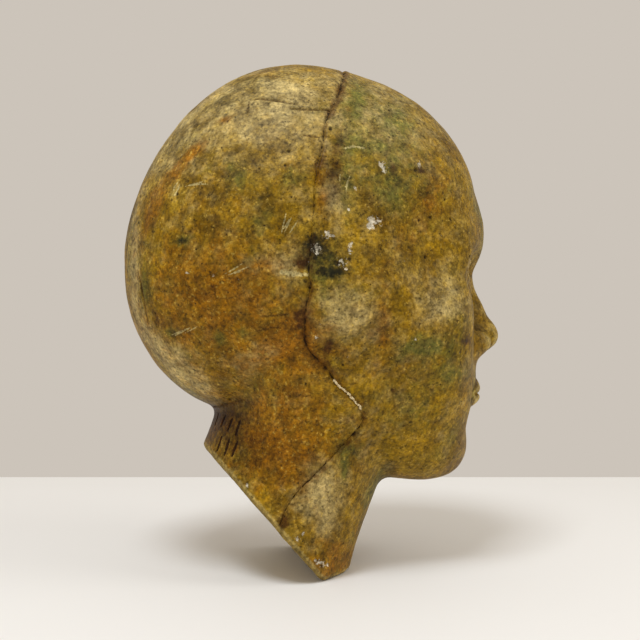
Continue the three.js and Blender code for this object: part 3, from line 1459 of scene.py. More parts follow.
    def values(self, points: Points, normals: Points) -> dict[str, Values]:
        """Work out the mesh attributes that place the patina, with its painted light and painted shade.

        Args:
            points: The mesh's corners on the smooth form.
            normals: The directions that they face.

        Returns:
            The values of each attribute, by its name.
        """
        found = self.washes(points, normals)
        for wear in Wear:
            found[wear.value] = np.zeros(len(points))
        for laid in self.marks:
            close, shares = laid.shares(points)
            nearness = found[laid.mark.wear.value]
            nearness[close] = np.maximum(nearness[close], 1.0 - shares / MARK_REACH)
        offset, half_width = self.seam.offsets(points)
        skin = 1.0 - self.cut_share(points)
        shares = offset / (SEAM_REACH * half_width)
        found[SEAM_OFFSET] = np.clip(np.where(skin > 0.5, shares, 1.0), -1.0, 1.0)
        width_share = np.clip(half_width / WIDE_CRACK, LEAST_SEAM_STAIN, 1.0)
        found[SEAM_STAIN] = self.seam.stain.over(offset) * width_share * skin
        found[HOLLOW] = np.clip(0.5 - self.fine_relief(points) / HOLLOW_DEPTH, 0.0, 1.0) * skin
        found[CUT_FACE] = 1.0 - skin
        # Painted shade: darker in the form's sharp creases and, more weakly, in its broad hollows such as
        # the eye sockets, with some dirt in the sharp creases
        sharp = self.form.bend(points, self.near_feel)
        broad = self.form.bend(points, self.far_feel)
        crease = np.clip(-sharp / self.near_bend, 0.0, 1.0)
        found[CREASE_SHADE_AND_DIRT] = crease + self.far_share * np.clip(-broad / self.far_bend, 0.0, 1.0)
        found[RIDGE] = np.clip((sharp - self.plain_bend) / self.near_bend, 0.0, 1.0)
        return found


# The head's own stains and marks, with painted light among the pale stains, placed as each flank is seen

# Each stain's row: ahead, up, half length, half height, turn and strength

BOTH_FLANKS = {
    Tone.PALE: (
        # Painted light: these broad pale patches make the crown and the top of the head lighter where the
        # light falls
        (-18, 78, 44, 24, 0, 0.6),
        (44, 74, 28, 24, -40, 0.4),
        (-64, 62, 26, 22, 45, 0.4),
        (74, -18, 16, 12, 0, 0.5),
        (24, -26, 14, 13, 0, 0.7),
    ),
    Tone.GREEN: (
        (40, 60, 30, 34, 0, 0.45),
        (62, -72, 24, 20, 0, 0.4),
    ),
    Tone.OCHRE: (
        (-42, -18, 44, 36, 0, 0.7),
        (-12, -92, 36, 30, 0, 0.75),
        (2, -48, 26, 18, 0, 0.6),
        (63, 26, 30, 9, 62, 0.5),
        (43, -28, 6, 25, 0, 0.5),
        (22, -155, 18, 14, 0, 0.6),
    ),
    Tone.UMBER: (
        (-38, -84, 16, 14, 0, 0.5),
        (-18, -98, 34, 24, -30, 0.5),
        (-24, -8, 34, 22, 0, 0.3),
        (-47, -22, 12, 16, 0, 0.35),
    ),
}
RIGHT_FLANK = {
    Tone.PALE: (
        # Painted highlight: a small pale spot of sheen on the crown
        (-11, 89, 9, 5, 0, 0.9),
        (17, 28, 7, 11, 0, 0.65),
        (-7, -3, 15, 6, 0, 0.7),
        (15, -122, 10, 16, 8, 0.9),
        (-57, -56, 22, 6, -50, 0.65),
        (-18, -48, 15, 7, 22, 0.5),
        (-86, -8, 3.5, 34, 0, 0.75),
        (-72, -48, 5, 24, 38, 0.75),
    ),
    Tone.GREEN: (
        (-31, 41, 7, 9, 0, 0.75),
        (-4, 40, 7, 6, 0, 0.6),
        (-18, 19, 6, 13, -12, 0.6),
        (27, 84, 6, 16, -10, 0.75),
        (49, 75, 9, 9, 0, 0.6),
        (33, 58, 15, 4, 0, 0.6),
        (23, 38, 4, 18, 0, 0.6),
        (46, 38, 10, 12, 0, 0.65),
        (-58, 8, 6, 3.5, 0, 0.8),
        (-78, -14, 4, 13, 0, 0.6),
        (-64, -38, 5, 3, 0, 0.7),
        (-38, -40, 3.5, 4.5, 0, 0.7),
        (-26, -37, 4, 3.5, 0, 0.6),
        (12, -6, 12, 14, 0, 0.7),
        (67, -42, 12, 7, 10, 0.85),
        (81, -55, 9, 8, 0, 0.65),
        (56, -43, 9, 2.5, 48, 0.8),
        (27, -96, 9, 8, 0, 0.6),
        (26, -106, 2, 8, 0, 0.8),
        (44, -119, 15, 6, 62, 0.8),
    ),
    Tone.OCHRE: (
        (-61, 47, 24, 4.5, 47, 0.75),
        (-75, 24, 15, 4, 66, 0.6),
        (-39, 71, 3.5, 2, 20, 0.8),
        (-53, 55, 4, 3, 40, 0.7),
        (11, 32, 4, 24, 0, 0.4),
        (24, 80, 3, 14, -10, 0.5),
        (-3, -36, 13, 9, 10, 0.6),
    ),
    Tone.UMBER: (
        (-69, -32, 6, 6, 0, 0.5),
        (2, -2, 4, 3.5, 0, 0.95),
        (2, -29, 4.5, 7, 0, 0.9),
        (16, -42, 3, 6, -15, 0.95),
        (-2, -66, 8, 7, 0, 0.45),
        (46, 47, 3, 3.2, 0, 0.9),
        (60, 48, 3, 2.5, 0, 0.85),
        (88, -38, 5, 4, 0, 0.8),
        (50, -64, 2, 2, 0, 0.9),
        (-4, -132, 3.5, 4, 0, 1.0),
        (-48, -79, 4, 1.8, -20, 0.8),
        (17, 46, 7, 40, -8, 0.58),
        (41, -30, 7, 22, 0, 0.4),
    ),
    Tone.SOOT: (
        (7, 7, 4.5, 7, 0, 0.95),
        (17, -6, 7, 3.5, 5, 0.95),
        (14, 4, 11, 13, 0, 0.62),
        (-58, 8, 4, 2, 10, 0.8),
        (64, -41, 5, 3, 40, 0.4),
        (46, 42, 9, 9, 0, 0.42),
        (-64, -38, 3, 2, 0, 0.5),
    ),
}
LEFT_FLANK = {
    Tone.PALE: (
        (-12, 62, 20, 13, 20, 0.6),
        (34, -12, 12, 10, 0, 0.5),
        (9, -126, 11, 14, 0, 0.7),
    ),
    Tone.GREEN: (
        (32, 70, 15, 11, -30, 0.7),
        (-22, 30, 9, 12, 20, 0.65),
        (-54, -4, 6, 10, 0, 0.6),
        (58, -52, 15, 9, 15, 0.75),
        (10, -101, 8, 10, 0, 0.55),
        (40, -120, 14, 6, 62, 0.7),
    ),
    Tone.OCHRE: (
        (-66, 40, 22, 5, 52, 0.7),
        (8, 14, 6, 24, 0, 0.6),
    ),
    Tone.UMBER: (
        (3, -31, 5, 8, 0, 0.8),
        (-30, -52, 11, 5, -15, 0.5),
        (38, 42, 3, 3, 0, 0.8),
        (-6, -130, 4, 4, 0, 0.8),
    ),
    Tone.SOOT: (
        (0, -12, 5, 4, 0, 0.6),
        (52, 22, 3, 2.5, 0, 0.5),
    ),
}
STAINS = {RIGHT: (BOTH_FLANKS, RIGHT_FLANK), LEFT: (BOTH_FLANKS, LEFT_FLANK)}

MARKS = (
    Mark(Wear.GROOVE, ((-27, 82), (-21, 82.5), (-12, 81), (-2, 79)), 0.9, 0.8),
    Mark(Wear.GROOVE, ((-6, 76.5), (3, 76.5), (14, 77)), 0.9, 0.9),
    Mark(Wear.GROOVE, ((-27.5, 81), (-28, 73)), 0.6, 0.3, 0.6),
    Mark(Wear.GROOVE, ((1, 62), (9, 61)), 0.9, 0.35, 0.6),
    Mark(Wear.GROOVE, ((-20, 98), (-10, 97)), 0.6, 0.2, 0.5),
    Mark(Wear.GROOVE, ((-18, -28.5), (-11, -28), (-4, -27)), 0.7, 0.25, 0.8),
    Mark(Wear.GROOVE, ((-20, -36), (-12, -34), (-7, -34)), 0.6, 0.3, 0.6),
    Mark(Wear.GROOVE, ((-47, -78.5), (-36, -75), (-26, -71.5)), 0.8, 0.35, 0.7),
    Mark(Wear.GROOVE, ((-60, -62), (-54, -66)), 0.5, 0.3, 0.5),
    Mark(Wear.GROOVE, ((-19, -75), (-19.5, -84)), 0.9, 0.2, 0.7),
    Mark(Wear.GROOVE, ((-83, -6), (-79, -22), (-77, -34)), 0.8, 0.3, 0.8),
    Mark(Wear.CHIP, ((39.5, 50), (41, 47.5), (42.5, 45.5)), 1.4, 0.8, 0.7),
    Mark(Wear.CHIP, ((60, 51),), 1.2, 0.5, 0.6),
    Mark(Wear.CHIP, ((34, 18.5), (37, 19.5), (40, 20)), 2.4, 0.6, 1.0),
    Mark(Wear.CHIP, ((13, 13), (16.5, 11.5)), 1.4, 0.5, 1.6),
    Mark(Wear.CHIP, ((8.4, 5.4), (9.8, 4.4)), 1.9, 1.0, 0.4),
    Mark(Wear.CHIP, ((25.8, 9), (25.2, 6), (25.6, 3)), 0.9, 0.4, 0.9),
    Mark(Wear.CHIP, ((21, 0), (23, -4)), 1.6, 0.4, 1.7),
    Mark(Wear.SCRATCH, ((-9, -6.5), (-1, -7), (5, -8)), 1.3, 0.2, 1.1),
    Mark(Wear.CHIP, ((10, -38),), 0.8, 0.4, 0.5),
    Mark(Wear.CHIP, ((60, -38),), 0.8, 0.4, 0.6),
    Mark(Wear.CHIP, ((-41, -9),), 0.7, 0.3, 0.4),
    Mark(Wear.CHIP, ((-55.5, -7.5), (-53, -8.5)), 0.45, 0.2, 0.4),
    Mark(Wear.CHIP, ((24, 25),), 0.8, 0.3, 0.8),
    Mark(Wear.CHIP, ((27, 36),), 0.8, 0.3, 0.8),
    Mark(Wear.SCRATCH, ((21, 56), (26, 57.5), (32, 57)), 0.7, 0.2, 1.0),
    Mark(Wear.CHIP, ((-24, -114.5),), 1.0, 0.7, 0.6),
    Mark(Wear.CHIP, ((3, -141),), 1.0, 0.7, 0.6),
    Mark(Wear.CHIP, ((6, -138),), 0.8, 0.5, 0.6),
    Mark(Wear.CHIP, ((12, -153), (19, -157)), 1.1, 0.6, 1.2),
    Mark(Wear.CHIP, ((30, 40), (32, 37)), 1.6, 0.7, 0.9, LEFT),
    Mark(Wear.CHIP, ((-30, 10),), 1.4, 0.6, 0.7, LEFT),
    Mark(Wear.CHIP, ((4, -12), (6, -15)), 1.8, 0.7, 1.2, LEFT),
    Mark(Wear.CHIP, ((-8, -139),), 1.3, 0.8, 0.7, LEFT),
    Mark(Wear.CHIP, ((62, -60),), 0.9, 0.4, 0.6, LEFT),
    Mark(Wear.GROOVE, ((-30, 60), (-14, 63), (-2, 62)), 0.8, 0.5, 0.5, LEFT),
    Mark(Wear.GROOVE, ((20, 84), (30, 80)), 0.7, 0.4, 0.5, LEFT),
)


@dataclass(frozen=True)
class StrokeRows:
    """Rows of slanted strokes where the neck carries its inscription.

    Attributes:
        ahead: How far ahead the foot of the first stroke is seen.
        up: How high its top is.
        spacing: Distance from one stroke to the next.
        row_counts: The strokes in each row.
        row_shift: How much further ahead each row starts.
        row_height: How far each row lies below the last.
        slant: How far ahead of its foot a stroke's top is.
        fall: How much a row falls for each millimetre ahead.
        length: A stroke's middle length.
        change: The greatest change of the length, as a share of it.
        change_steps: How far the change runs on with each stroke and with each row.
        cut: Half a stroke's width, its depth and how uneven its edge is.
    """

    ahead: float = -44.5
    up: float = -80.5
    spacing: float = 4.4
    row_counts: tuple[int, int] = (4, 3)
    row_shift: float = 3.0
    row_height: float = 11.5
    slant: float = 2.6
    fall: float = 0.16
    length: float = 7.5
    change: float = 0.16
    change_steps: Pair = (5.0, 3.0)
    cut: Place = (0.95, 0.5, 0.5)

    def marks(self) -> list[Mark]:
        """Give the strokes, each a little unlike the last.

        Returns:
            One mark for each stroke.
        """
        made = []
        by_stroke, by_row = self.change_steps
        for row, count in enumerate(self.row_counts):
            for number in range(count):
                foot_ahead = self.ahead + row * self.row_shift + number * self.spacing
                top = self.up - row * self.row_height - number * self.spacing * self.fall
                wave = math.sin(by_stroke * number + by_row * row)
                length = self.length * (1.0 + self.change * wave)
                path = ((foot_ahead + self.slant, top), (foot_ahead, top - length))
                made.append(Mark(Wear.STROKE, path, *self.cut))
        return made


@dataclass(frozen=True)
class ScratchBundle:
    """A few fine rubbed lines side by side.

    Attributes:
        at: Its middle, as it is seen from its flank.
        length: The length of its lines.
        lean: Degrees by which they rise ahead.
        count: How many there are.
        spread: How far from its middle they lie.
        flank: The side of the head that it is seen from.
        lean_spread: Degrees by which their leans differ.
        half_shares: The least and the greatest half length, as shares of the length.
        spread_shares: The shares of the spread ahead and up.
        cut: Half a line's width, its depth and how uneven its edge is.
    """

    at: Pair
    length: float
    lean: float
    count: int
    spread: float
    flank: Flank = RIGHT
    lean_spread: float = 9.0
    half_shares: Pair = (0.35, 0.7)
    spread_shares: Pair = (0.7, 0.5)
    cut: Place = (0.4, 0.08, 0.6)

    def marks(self, draw: np.random.Generator) -> list[Mark]:
        """Give the scratches.

        Args:
            draw: The seeded random numbers.

        Returns:
            One mark for each scratch.
        """
        made = []
        for _ in range(self.count):
            lean = math.radians(self.lean + draw.normal(0.0, self.lean_spread))
            half = self.length * draw.uniform(*self.half_shares)
            ahead, up = np.array(self.at) + draw.normal(0.0, self.spread, 2) * self.spread_shares
            run, rise = half * math.cos(lean), half * math.sin(lean)
            path = ((ahead - run, up - rise), (ahead + run, up + rise))
            made.append(Mark(Wear.SCRATCH, path, *self.cut, self.flank))
        return made


SCRATCHES = (
    ScratchBundle((-62, 36), 5.0, 62, 4, 3.0),
    ScratchBundle((-49, 37), 9.0, 8, 3, 3.0),
    ScratchBundle((-3, 17), 9.0, 68, 4, 3.0),
    ScratchBundle((-30, -4), 8.0, 25, 3, 3.5),
    ScratchBundle((-58, -37), 10.0, 15, 3, 3.0),
    ScratchBundle((20, 40), 6.0, 80, 3, 5.0),
    ScratchBundle((-30, 20), 9.0, 40, 4, 5.0, LEFT),
    ScratchBundle((10, 50), 8.0, 75, 3, 4.0, LEFT),
)


@dataclass(frozen=True)
class Pitting:
    """Small air bubbles and knocks all over the head.

    Attributes:
        count: How many there are.
        smallest: The smallest radius.
        largest: The largest radius.
        rarity: The power that makes the large ones rare.
        depth_share: Their depth as a share of the radius.
        ragged: How uneven their edges are.
        up_or_down: The range of numbers drawn for them; those above nought are on the upper half.
        seed: Starts the random numbers.
    """

    count: int = 90
    smallest: float = 0.45
    largest: float = 1.1
    rarity: float = 2.0
    depth_share: float = 0.6
    ragged: float = 0.4
    up_or_down: Pair = (-0.6, 1.0)
    seed: int = 11

    def laid(self, form: HeadForm) -> list[LaidMark]:
        """Give the pits in their places on the head.

        Args:
            form: The head's form.

        Returns:
            One mark for each pit.
        """
        draw = np.random.default_rng(self.seed)
        ways = draw.normal(size=(self.count, 3))
        ways[:, 2] = np.abs(ways[:, 2]) * np.sign(draw.uniform(*self.up_or_down, self.count))
        ways /= lengths(ways)[:, None]
        places = np.array(form.core) + ways * form.radii(ways)[:, None]
        shares = draw.uniform(size=self.count) ** self.rarity
        sizes = self.smallest + (self.largest - self.smallest) * shares
        return [
            LaidMark(Mark(Wear.PIT, ((0.0, 0.0),), size, self.depth_share * size, self.ragged), place[None])
            for size, place in zip(sizes, places)
        ]


# Finishes


# The finer sizes in the noise of the coats, the clouds, the grain and the filler
COAT_NOISE = {"Detail": 6.0, "Roughness": 0.66}
CLOUD_NOISE = {"Detail": 4.0, "Roughness": 0.65}
GRAIN_NOISE = {"Detail": 3.0, "Roughness": 0.6}
FILLER_NOISE = {"Detail": 3.0}
CRUMB_NOISE = {"Detail": 1.0}

# The middle of a noise's values
NOISE_MIDDLE = 0.5


def add_node(tree: Tree, kind: str, fills: dict | None = None, **settings: object) -> Node:
    """Add a node with its settings, its inputs' values and its links.

    Args:
        tree: The node tree.
        kind: Blender's name for the kind of node.
        fills: By an input's name or number, its value or the output that is linked to it.
            A node stands for its first output.
        **settings: The node's own settings.

    Returns:
        The new node.
    """
    node = tree.nodes.new(kind)
    for name, value in settings.items():
        setattr(node, name, value)
    for name, value in (fills or {}).items():
        if isinstance(value, Node):
            value = value.outputs[0]
        if isinstance(value, Socket):
            tree.links.new(value, node.inputs[name])
        else:
            node.inputs[name].default_value = value
    return node


def start_material(name: str) -> tuple[bpy.types.Material, Tree, Socket]:
    """Start a material.

    Args:
        name: The name of what it is in the world.

    Returns:
        The material, its empty node tree and the object's coordinates in it.
    """
    material = bpy.data.materials.new(name)
    material.use_nodes = True
    tree = material.node_tree
    tree.nodes.clear()
    return material, tree, add_node(tree, "ShaderNodeTexCoord").outputs["Object"]


def per_metre(size: float) -> float:
    """Give a pattern's scale from the size of its patches in millimetres."""
    return 1.0 / (size * MM)


@dataclass(frozen=True)
class Coat:
    """One layer of the patina, laid where a mesh attribute asks for it; a few layers paint light and shade.

    Attributes:
        attribute: The mesh attribute, or nothing for a layer that is laid everywhere.
        colour: Its sRGB colour.
        grain: Size in millimetres of the pattern that breaks it up.
        broken: How strongly that pattern breaks it up.
        low: The attribute at which it starts.
        high: The attribute at which it covers fully.
        cover: Its fullest cover, 0 to 1.
        roughness: The roughness of its surface.
        centred: Whether it lies where the attribute is near nought, either side.
    """

    attribute: str | None
    colour: str
    grain: float
    broken: float
    low: float
    high: float
    cover: float
    roughness: float
    centred: bool = False


@dataclass(frozen=True)
class Speckle:
    """Small dark dots of dirt in the pores.

    Attributes:
        spacing: Size in millimetres of the cells that hold one dot each.
        share_left_out: Share of the cells without a dot.
        largest: A dot's greatest radius as a share of the spacing.
        rim: Width of a dot's soft rim as a share of the spacing.
        cover: How far its middle covers what is under it.
    """

    spacing: float
    share_left_out: float
    largest: float
    rim: float = 0.06
    cover: float = 0.85


@dataclass(frozen=True)
class Cloud:
    """A pattern that makes the colour darker and lighter.

    Attributes:
        size: The size in millimetres of its clouds.
        darkest: What the colour is multiplied by where it is darkest.
        lightest: The same where it is lightest.
        low: The noise value that makes it darkest.
        high: The noise value that makes it lightest.
    """

    size: float
    darkest: float
    lightest: float
    low: float = 0.3
    high: float = 0.7


@dataclass(frozen=True)
class PlasterPatina:
    """Cast plaster, toned with washes of earth colours and waxed.

    The washes sank in unevenly, which gives it a mottled depth of ochre, green and
    brown. The old wax gives it a low satin sheen that is weak and broad. A pale coat
    paints light and a highlight on the crown. Dirt sits in its pores, and painted shade
    with some dirt darkens its creases and the hollows of its eyes. Where it is chipped
    the pale plaster shows, quite dull.

    Attributes:
        name: The material's name.
        ground: The sRGB colour under the coats.
        waxed_roughness: The roughness under the coats.
        reflectance: The shader's specular level, low because the wax has dried.
        coats: The coats, the lowest first.
        pattern_step: How far each coat's pattern lies from that of the last.
        clouds: The patterns of light and dark.
        speckles: The dots of dirt.
        speck_colour: Their sRGB colour.
        grains: The size and the height in millimetres of each grain of the surface.
        grain_strength: How strongly the grains turn the light.
    """

    name: str = "patinated plaster"
    ground: str = "#8A6A08"
    waxed_roughness: float = 0.45
    reflectance: float = 0.1
    coats: tuple[Coat, ...] = (
        Coat(None, "#6B4D0A", 26.0, 1.0, -0.12, 0.18, 0.9, 0.45),
        Coat(None, "#62631F", 38.0, 1.0, 0.0, 0.2, 0.7, 0.45),
        Coat(None, "#9E8330", 15.0, 1.0, -0.04, 0.2, 0.62, 0.5),
        # Pale rubbed plaster, and painted light and a painted highlight on the crown
        Coat(Tone.PALE.value, "#B09C66", 9.0, 1.8, -0.1, 0.8, 0.88, 0.5),
        Coat(Tone.OCHRE.value, "#845403", 8.0, 1.5, 0.1, 0.85, 0.9, 0.42),
        Coat(Tone.GREEN.value, "#5A5C24", 5.0, 1.5, 0.1, 0.9, 0.85, 0.45),
        Coat(HOLLOW, "#4A3608", 2.5, 1.0, 0.45, 1.0, 0.6, 0.55),
        Coat(None, "#2E2006", 2.2, 1.0, 0.02, 0.17, 0.7, 0.55),
        Coat(None, "#BE9F46", 1.8, 1.0, 0.04, 0.2, 0.6, 0.5),
        # Painted shade darkening the creases and the hollows of the eye sockets, with some dirt in the
        # sharp creases
        Coat(CREASE_SHADE_AND_DIRT, "#46330B", 2.8, 1.5, 0.1, 1.4, 0.7, 0.5),
        Coat(RIDGE, "#BCA766", 2.4, 1.5, 0.2, 1.2, 0.55, 0.45),
        Coat(Tone.UMBER.value, "#361A05", 3.0, 1.4, 0.2, 0.9, 0.88, 0.45),
        Coat(Tone.SOOT.value, "#12150D", 2.6, 1.6, 0.25, 0.85, 0.92, 0.5),
        Coat(SEAM_STAIN, "#4A2804", 4.5, 2.4, 0.25, 1.1, 0.75, 0.45),
        Coat(Wear.SCRATCH.value, "#B9AA73", 0.9, 0.8, 0.4, 0.75, 0.7, 0.55),
        Coat(Wear.GROOVE.value, "#452C0A", 1.8, 1.2, 0.25, 0.95, 0.75, 0.6),
        Coat(Wear.PIT.value, "#1E1206", 1.0, 0.5, 0.3, 0.8, 0.85, 0.6),
        Coat(SEAM_OFFSET, "#1B0F05", 3.2, 1.7, 0.8, 1.08, 0.88, 0.75, centred=True),
        Coat(Wear.STROKE.value, "#220C04", 1.3, 0.6, 0.36, 0.6, 0.92, 0.45),
        Coat(CUT_FACE, "#86713A", 9.0, 0.8, 0.2, 0.7, 0.8, 0.75),
        Coat(Wear.CHIP.value, "#CBC2AC", 1.3, 2.8, 0.4, 0.85, 0.92, 0.9),
    )
    pattern_step: float = 1.7
    clouds: tuple[Cloud, ...] = (Cloud(16.0, 0.72, 1.28), Cloud(5.0, 0.6, 1.4), Cloud(1.7, 0.48, 1.52))
    speckles: tuple[Speckle, ...] = (Speckle(2.6, 0.6, 0.19), Speckle(6.5, 0.7, 0.12))
    speck_colour: str = "#140F08"
    grains: tuple[Pair, ...] = ((3.0, 0.48), (0.8, 0.2))
    grain_strength: float = 0.8

    def build(self) -> bpy.types.Material:
        """Build the material's nodes.

        Returns:
            The material.
        """
        material, tree, place = start_material(self.name)
        colour: Socket | tuple = linear(self.ground)
        roughness: Node | float = self.waxed_roughness
        for number, coat in enumerate(self.coats):
            share = self.share(tree, place, coat, self.pattern_step * number)
            tinted = add_node(
                tree, "ShaderNodeMix", {0: share, 6: colour, 7: linear(coat.colour)}, data_type="RGBA"
            )
            colour = tinted.outputs[2]
            roughness = add_node(tree, "ShaderNodeMix", {0: share, 2: roughness, 3: coat.roughness})
        fills = {
            "Base Color": self.specked(tree, place, self.clouded(tree, place, colour)),
            "Roughness": roughness,
            "Specular IOR Level": self.reflectance,
            "Normal": self.texture(tree, place),
        }
        shader = add_node(tree, "ShaderNodeBsdfPrincipled", fills)
        add_node(tree, "ShaderNodeOutputMaterial", {"Surface": shader})
        return material

    @staticmethod
    def share(tree: Tree, place: Socket, coat: Coat, pattern_number: float) -> Node:
        """Work out how far a coat covers what is under it.

        Args:
            tree: The material's nodes.
            place: The object coordinates.
            coat: The layer.
            pattern_number: Tells its pattern from the others'.

        Returns:
            The node that gives the cover, 0 to 1.
        """
        amount: Socket | Node | float = 0.0
        if coat.attribute:
            amount = add_node(tree, "ShaderNodeAttribute", attribute_name=coat.attribute).outputs["Fac"]
        if coat.centred:
            beside = add_node(tree, "ShaderNodeMath", {0: amount}, operation="ABSOLUTE")
            amount = add_node(tree, "ShaderNodeMath", {0: 1.0, 1: beside}, operation="SUBTRACT")
        fills = {"Vector": place, "W": pattern_number, "Scale": per_metre(coat.grain)} | COAT_NOISE
        pattern = add_node(tree, "ShaderNodeTexNoise", fills, noise_dimensions="4D")
        fills = {0: pattern, 1: coat.broken, 2: amount}
        broken = add_node(tree, "ShaderNodeMath", fills, operation="MULTIPLY_ADD")
        fills = {
            "Value": broken,
            "From Min": coat.low + coat.broken * NOISE_MIDDLE,
            "From Max": coat.high + coat.broken * NOISE_MIDDLE,
            "To Max": coat.cover,
        }
        return add_node(tree, "ShaderNodeMapRange", fills, interpolation_type="SMOOTHSTEP")

    def clouded(self, tree: Tree, place: Socket, colour: Socket) -> Socket | Node:
        """Make a colour lighter and darker in clouds and in a fine grain.

        Args:
            tree: The material's nodes.
            place: The object coordinates.
            colour: The colour.

        Returns:
            The uneven colour.
        """
        for cloud in self.clouds:
            fills = {"Vector": place, "Scale": per_metre(cloud.size)} | CLOUD_NOISE
            pattern = add_node(tree, "ShaderNodeTexNoise", fills)
            fills = {
                "Value": pattern,
                "From Min": cloud.low,
                "From Max": cloud.high,
                "To Min": cloud.darkest,
                "To Max": cloud.lightest,
            }
            level = add_node(tree, "ShaderNodeMapRange", fills)
            colour = add_node(
                tree, "ShaderNodeVectorMath", {0: colour, "Scale": level}, operation="SCALE"
            )
        return colour

    def specked(self, tree: Tree, place: Socket, colour: Socket | Node) -> Socket:
        """Lay the small dark dots over a colour.

        Args:
            tree: The material's nodes.
            place: The object coordinates.
            colour: The colour under them.

        Returns:
            The finished colour.
        """
        for speckle in self.speckles:
            fills = {"Vector": place, "Scale": per_metre(speckle.spacing)}
            cells = add_node(tree, "ShaderNodeTexVoronoi", fills)
            chance = add_node(tree, "ShaderNodeSeparateColor", {"Color": cells.outputs["Color"]})
            fills = {"Value": chance, "From Min": speckle.share_left_out, "To Max": speckle.largest}
            radius = add_node(tree, "ShaderNodeMapRange", fills)
            inside = add_node(tree, "ShaderNodeMath", {0: radius, 1: cells}, operation="SUBTRACT")
            fills = {"Value": inside, "From Max": speckle.rim, "To Max": speckle.cover}
            share = add_node(tree, "ShaderNodeMapRange", fills)
            fills = {0: share, 6: colour, 7: linear(self.speck_colour)}
            colour = add_node(tree, "ShaderNodeMix", fills, data_type="RGBA").outputs[2]
        return colour

    def texture(self, tree: Tree, place: Socket) -> Node:
        """Give the surface its fine plaster grain.

        Args:
            tree: The material's nodes.
            place: The object coordinates.

        Returns:
            The node that gives the roughened normal.
        """
        before: dict[str, Node] = {}
        for size, height in self.grains:
            fills = {"Vector": place, "Scale": per_metre(size)} | GRAIN_NOISE
            grain = add_node(tree, "ShaderNodeTexNoise", fills)
            fills = {"Height": grain, "Strength": self.grain_strength, "Distance": height * MM} | before
            before = {"Normal": add_node(tree, "ShaderNodeBump", fills)}
        return before["Normal"]


@dataclass(frozen=True)
class LimeFiller:
    """Lime filler, crumbled in the crack: pale, chalky and quite dull.

    Attributes:
        name: The material's name.
        colour: Its sRGB colour.
        dirt: The sRGB colour of its dirty patches.
        patch: Their size in millimetres.
        dirt_from: The noise value at which they start.
        dirt_full: The noise value at which they cover fully.
        roughness: The roughness of its surface.
        grain_height: Height of its grain in millimetres.
        grain_strength: How strongly the grain turns the light.
    """

    name: str = "lime filler"
    colour: str = "#D9C79B"
    dirt: str = "#9B7A42"
    patch: float = 1.5
    dirt_from: float = 0.45
    dirt_full: float = 0.75
    roughness: float = 0.85
    grain_height: float = 0.2
    grain_strength: float = 0.6

    def build(self) -> bpy.types.Material:
        """Build the material's nodes.

        Returns:
            The material.
        """
        material, tree, place = start_material(self.name)
        fills = {"Vector": place, "Scale": per_metre(self.patch)} | FILLER_NOISE
        patches = add_node(tree, "ShaderNodeTexNoise", fills)
        fills = {"Value": patches, "From Min": self.dirt_from, "From Max": self.dirt_full}
        share = add_node(tree, "ShaderNodeMapRange", fills)
        fills = {0: share, 6: linear(self.colour), 7: linear(self.dirt)}
        colour = add_node(tree, "ShaderNodeMix", fills, data_type="RGBA").outputs[2]
        height = self.grain_height * MM
        fills = {"Height": patches, "Strength": self.grain_strength, "Distance": height}
        bump = add_node(tree, "ShaderNodeBump", fills)
        fills = {"Base Color": colour, "Roughness": self.roughness, "Normal": bump}
        shader = add_node(tree, "ShaderNodeBsdfPrincipled", fills)
        add_node(tree, "ShaderNodeOutputMaterial", {"Surface": shader})
        return material


# The pieces


def add_object(name: str, data: bpy.types.ID) -> bpy.types.Object:
    """Add an object to the scene.

    Args:
        name: Its name.
        data: Its mesh, lamp or camera.

    Returns:
        The object, at the origin.
    """
    added = bpy.data.objects.new(name, data)
    bpy.context.scene.collection.objects.link(added)
    return added


def put_on_body(piece: bpy.types.Object) -> None:
    """Let a piece ride on the head's one body.

    Args:
        piece: The piece.
    """
    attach(piece, BODY)
    LOG.info("%s: %d vertices, %d faces", piece.name, len(piece.data.vertices), len(piece.data.polygons))


@dataclass(frozen=True)
class PlasterHead:
    """The head, one solid cast, with its worn skin.

    Attributes:
        form: Its smooth form.
        seam: The joint of the mould.
        strokes: The strokes in the inscription's place.
        pitting: Its pits.
        patina: Its finish.
        rounds: How often its mesh is made finer at most.
        seed: Starts the scratches' random numbers.
    """

    form: HeadForm = HeadForm()
    seam: Seam = Seam()
    strokes: StrokeRows = StrokeRows()
    pitting: Pitting = Pitting()
    patina: PlasterPatina = PlasterPatina()
    rounds: int = 8
    seed: int = 5

    def laid_marks(self) -> list[LaidMark]:
        """Lay every mark on the head.

        Returns:
            The marks in their places.
        """
        draw = np.random.default_rng(self.seed)
        marks = list(MARKS) + self.strokes.marks()
        for bundle in SCRATCHES:
            marks += bundle.marks(draw)
        laid = self.pitting.laid(self.form)
        for flank in (RIGHT, LEFT):
            beside = [mark for mark in marks if mark.flank is flank]
            trails = [mark.trail() for mark in beside]
            places = self.form.laid_on(flank, np.concatenate(trails))
            ends = np.cumsum([len(trail) for trail in trails])[:-1]
            laid += [LaidMark(*pair) for pair in zip(beside, np.split(places, ends))]
        return laid

    def build(self) -> bpy.types.Object:
        """Build the head's mesh, its attributes and its finish.

        Returns:
            The finished piece.
        """
        skin = WornSkin(self.form, self.seam, self.laid_marks())
        mesh = RoundMesh(self.form)
        for _ in range(self.rounds):
            if not mesh.refine(skin.wanted_edge, skin.mark_edge):
                break
        smooth = mesh.places()
        normals = mesh.normals()
        worn = smooth + normals * skin.relief(smooth)[:, None]
        stood = self.form.stand.to_foot(worn)
        stood[:, 2] = np.maximum(stood[:, 2], 0.0)
        made = bpy.data.meshes.new(HEAD_NODE + "_worn")
        made.from_pydata((stood * MM).tolist(), [], mesh.faces.tolist())
        made.shade_smooth()
        for name, values in skin.values(smooth, normals).items():
            attribute = made.attributes.new(name, "FLOAT", "POINT")
            attribute.data.foreach_set("value", values.astype(np.float32))
        made.materials.append(self.patina.build())
        piece = add_object("head", made)
        put_on_body(piece)
        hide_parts(HEAD_NODE)
        return piece


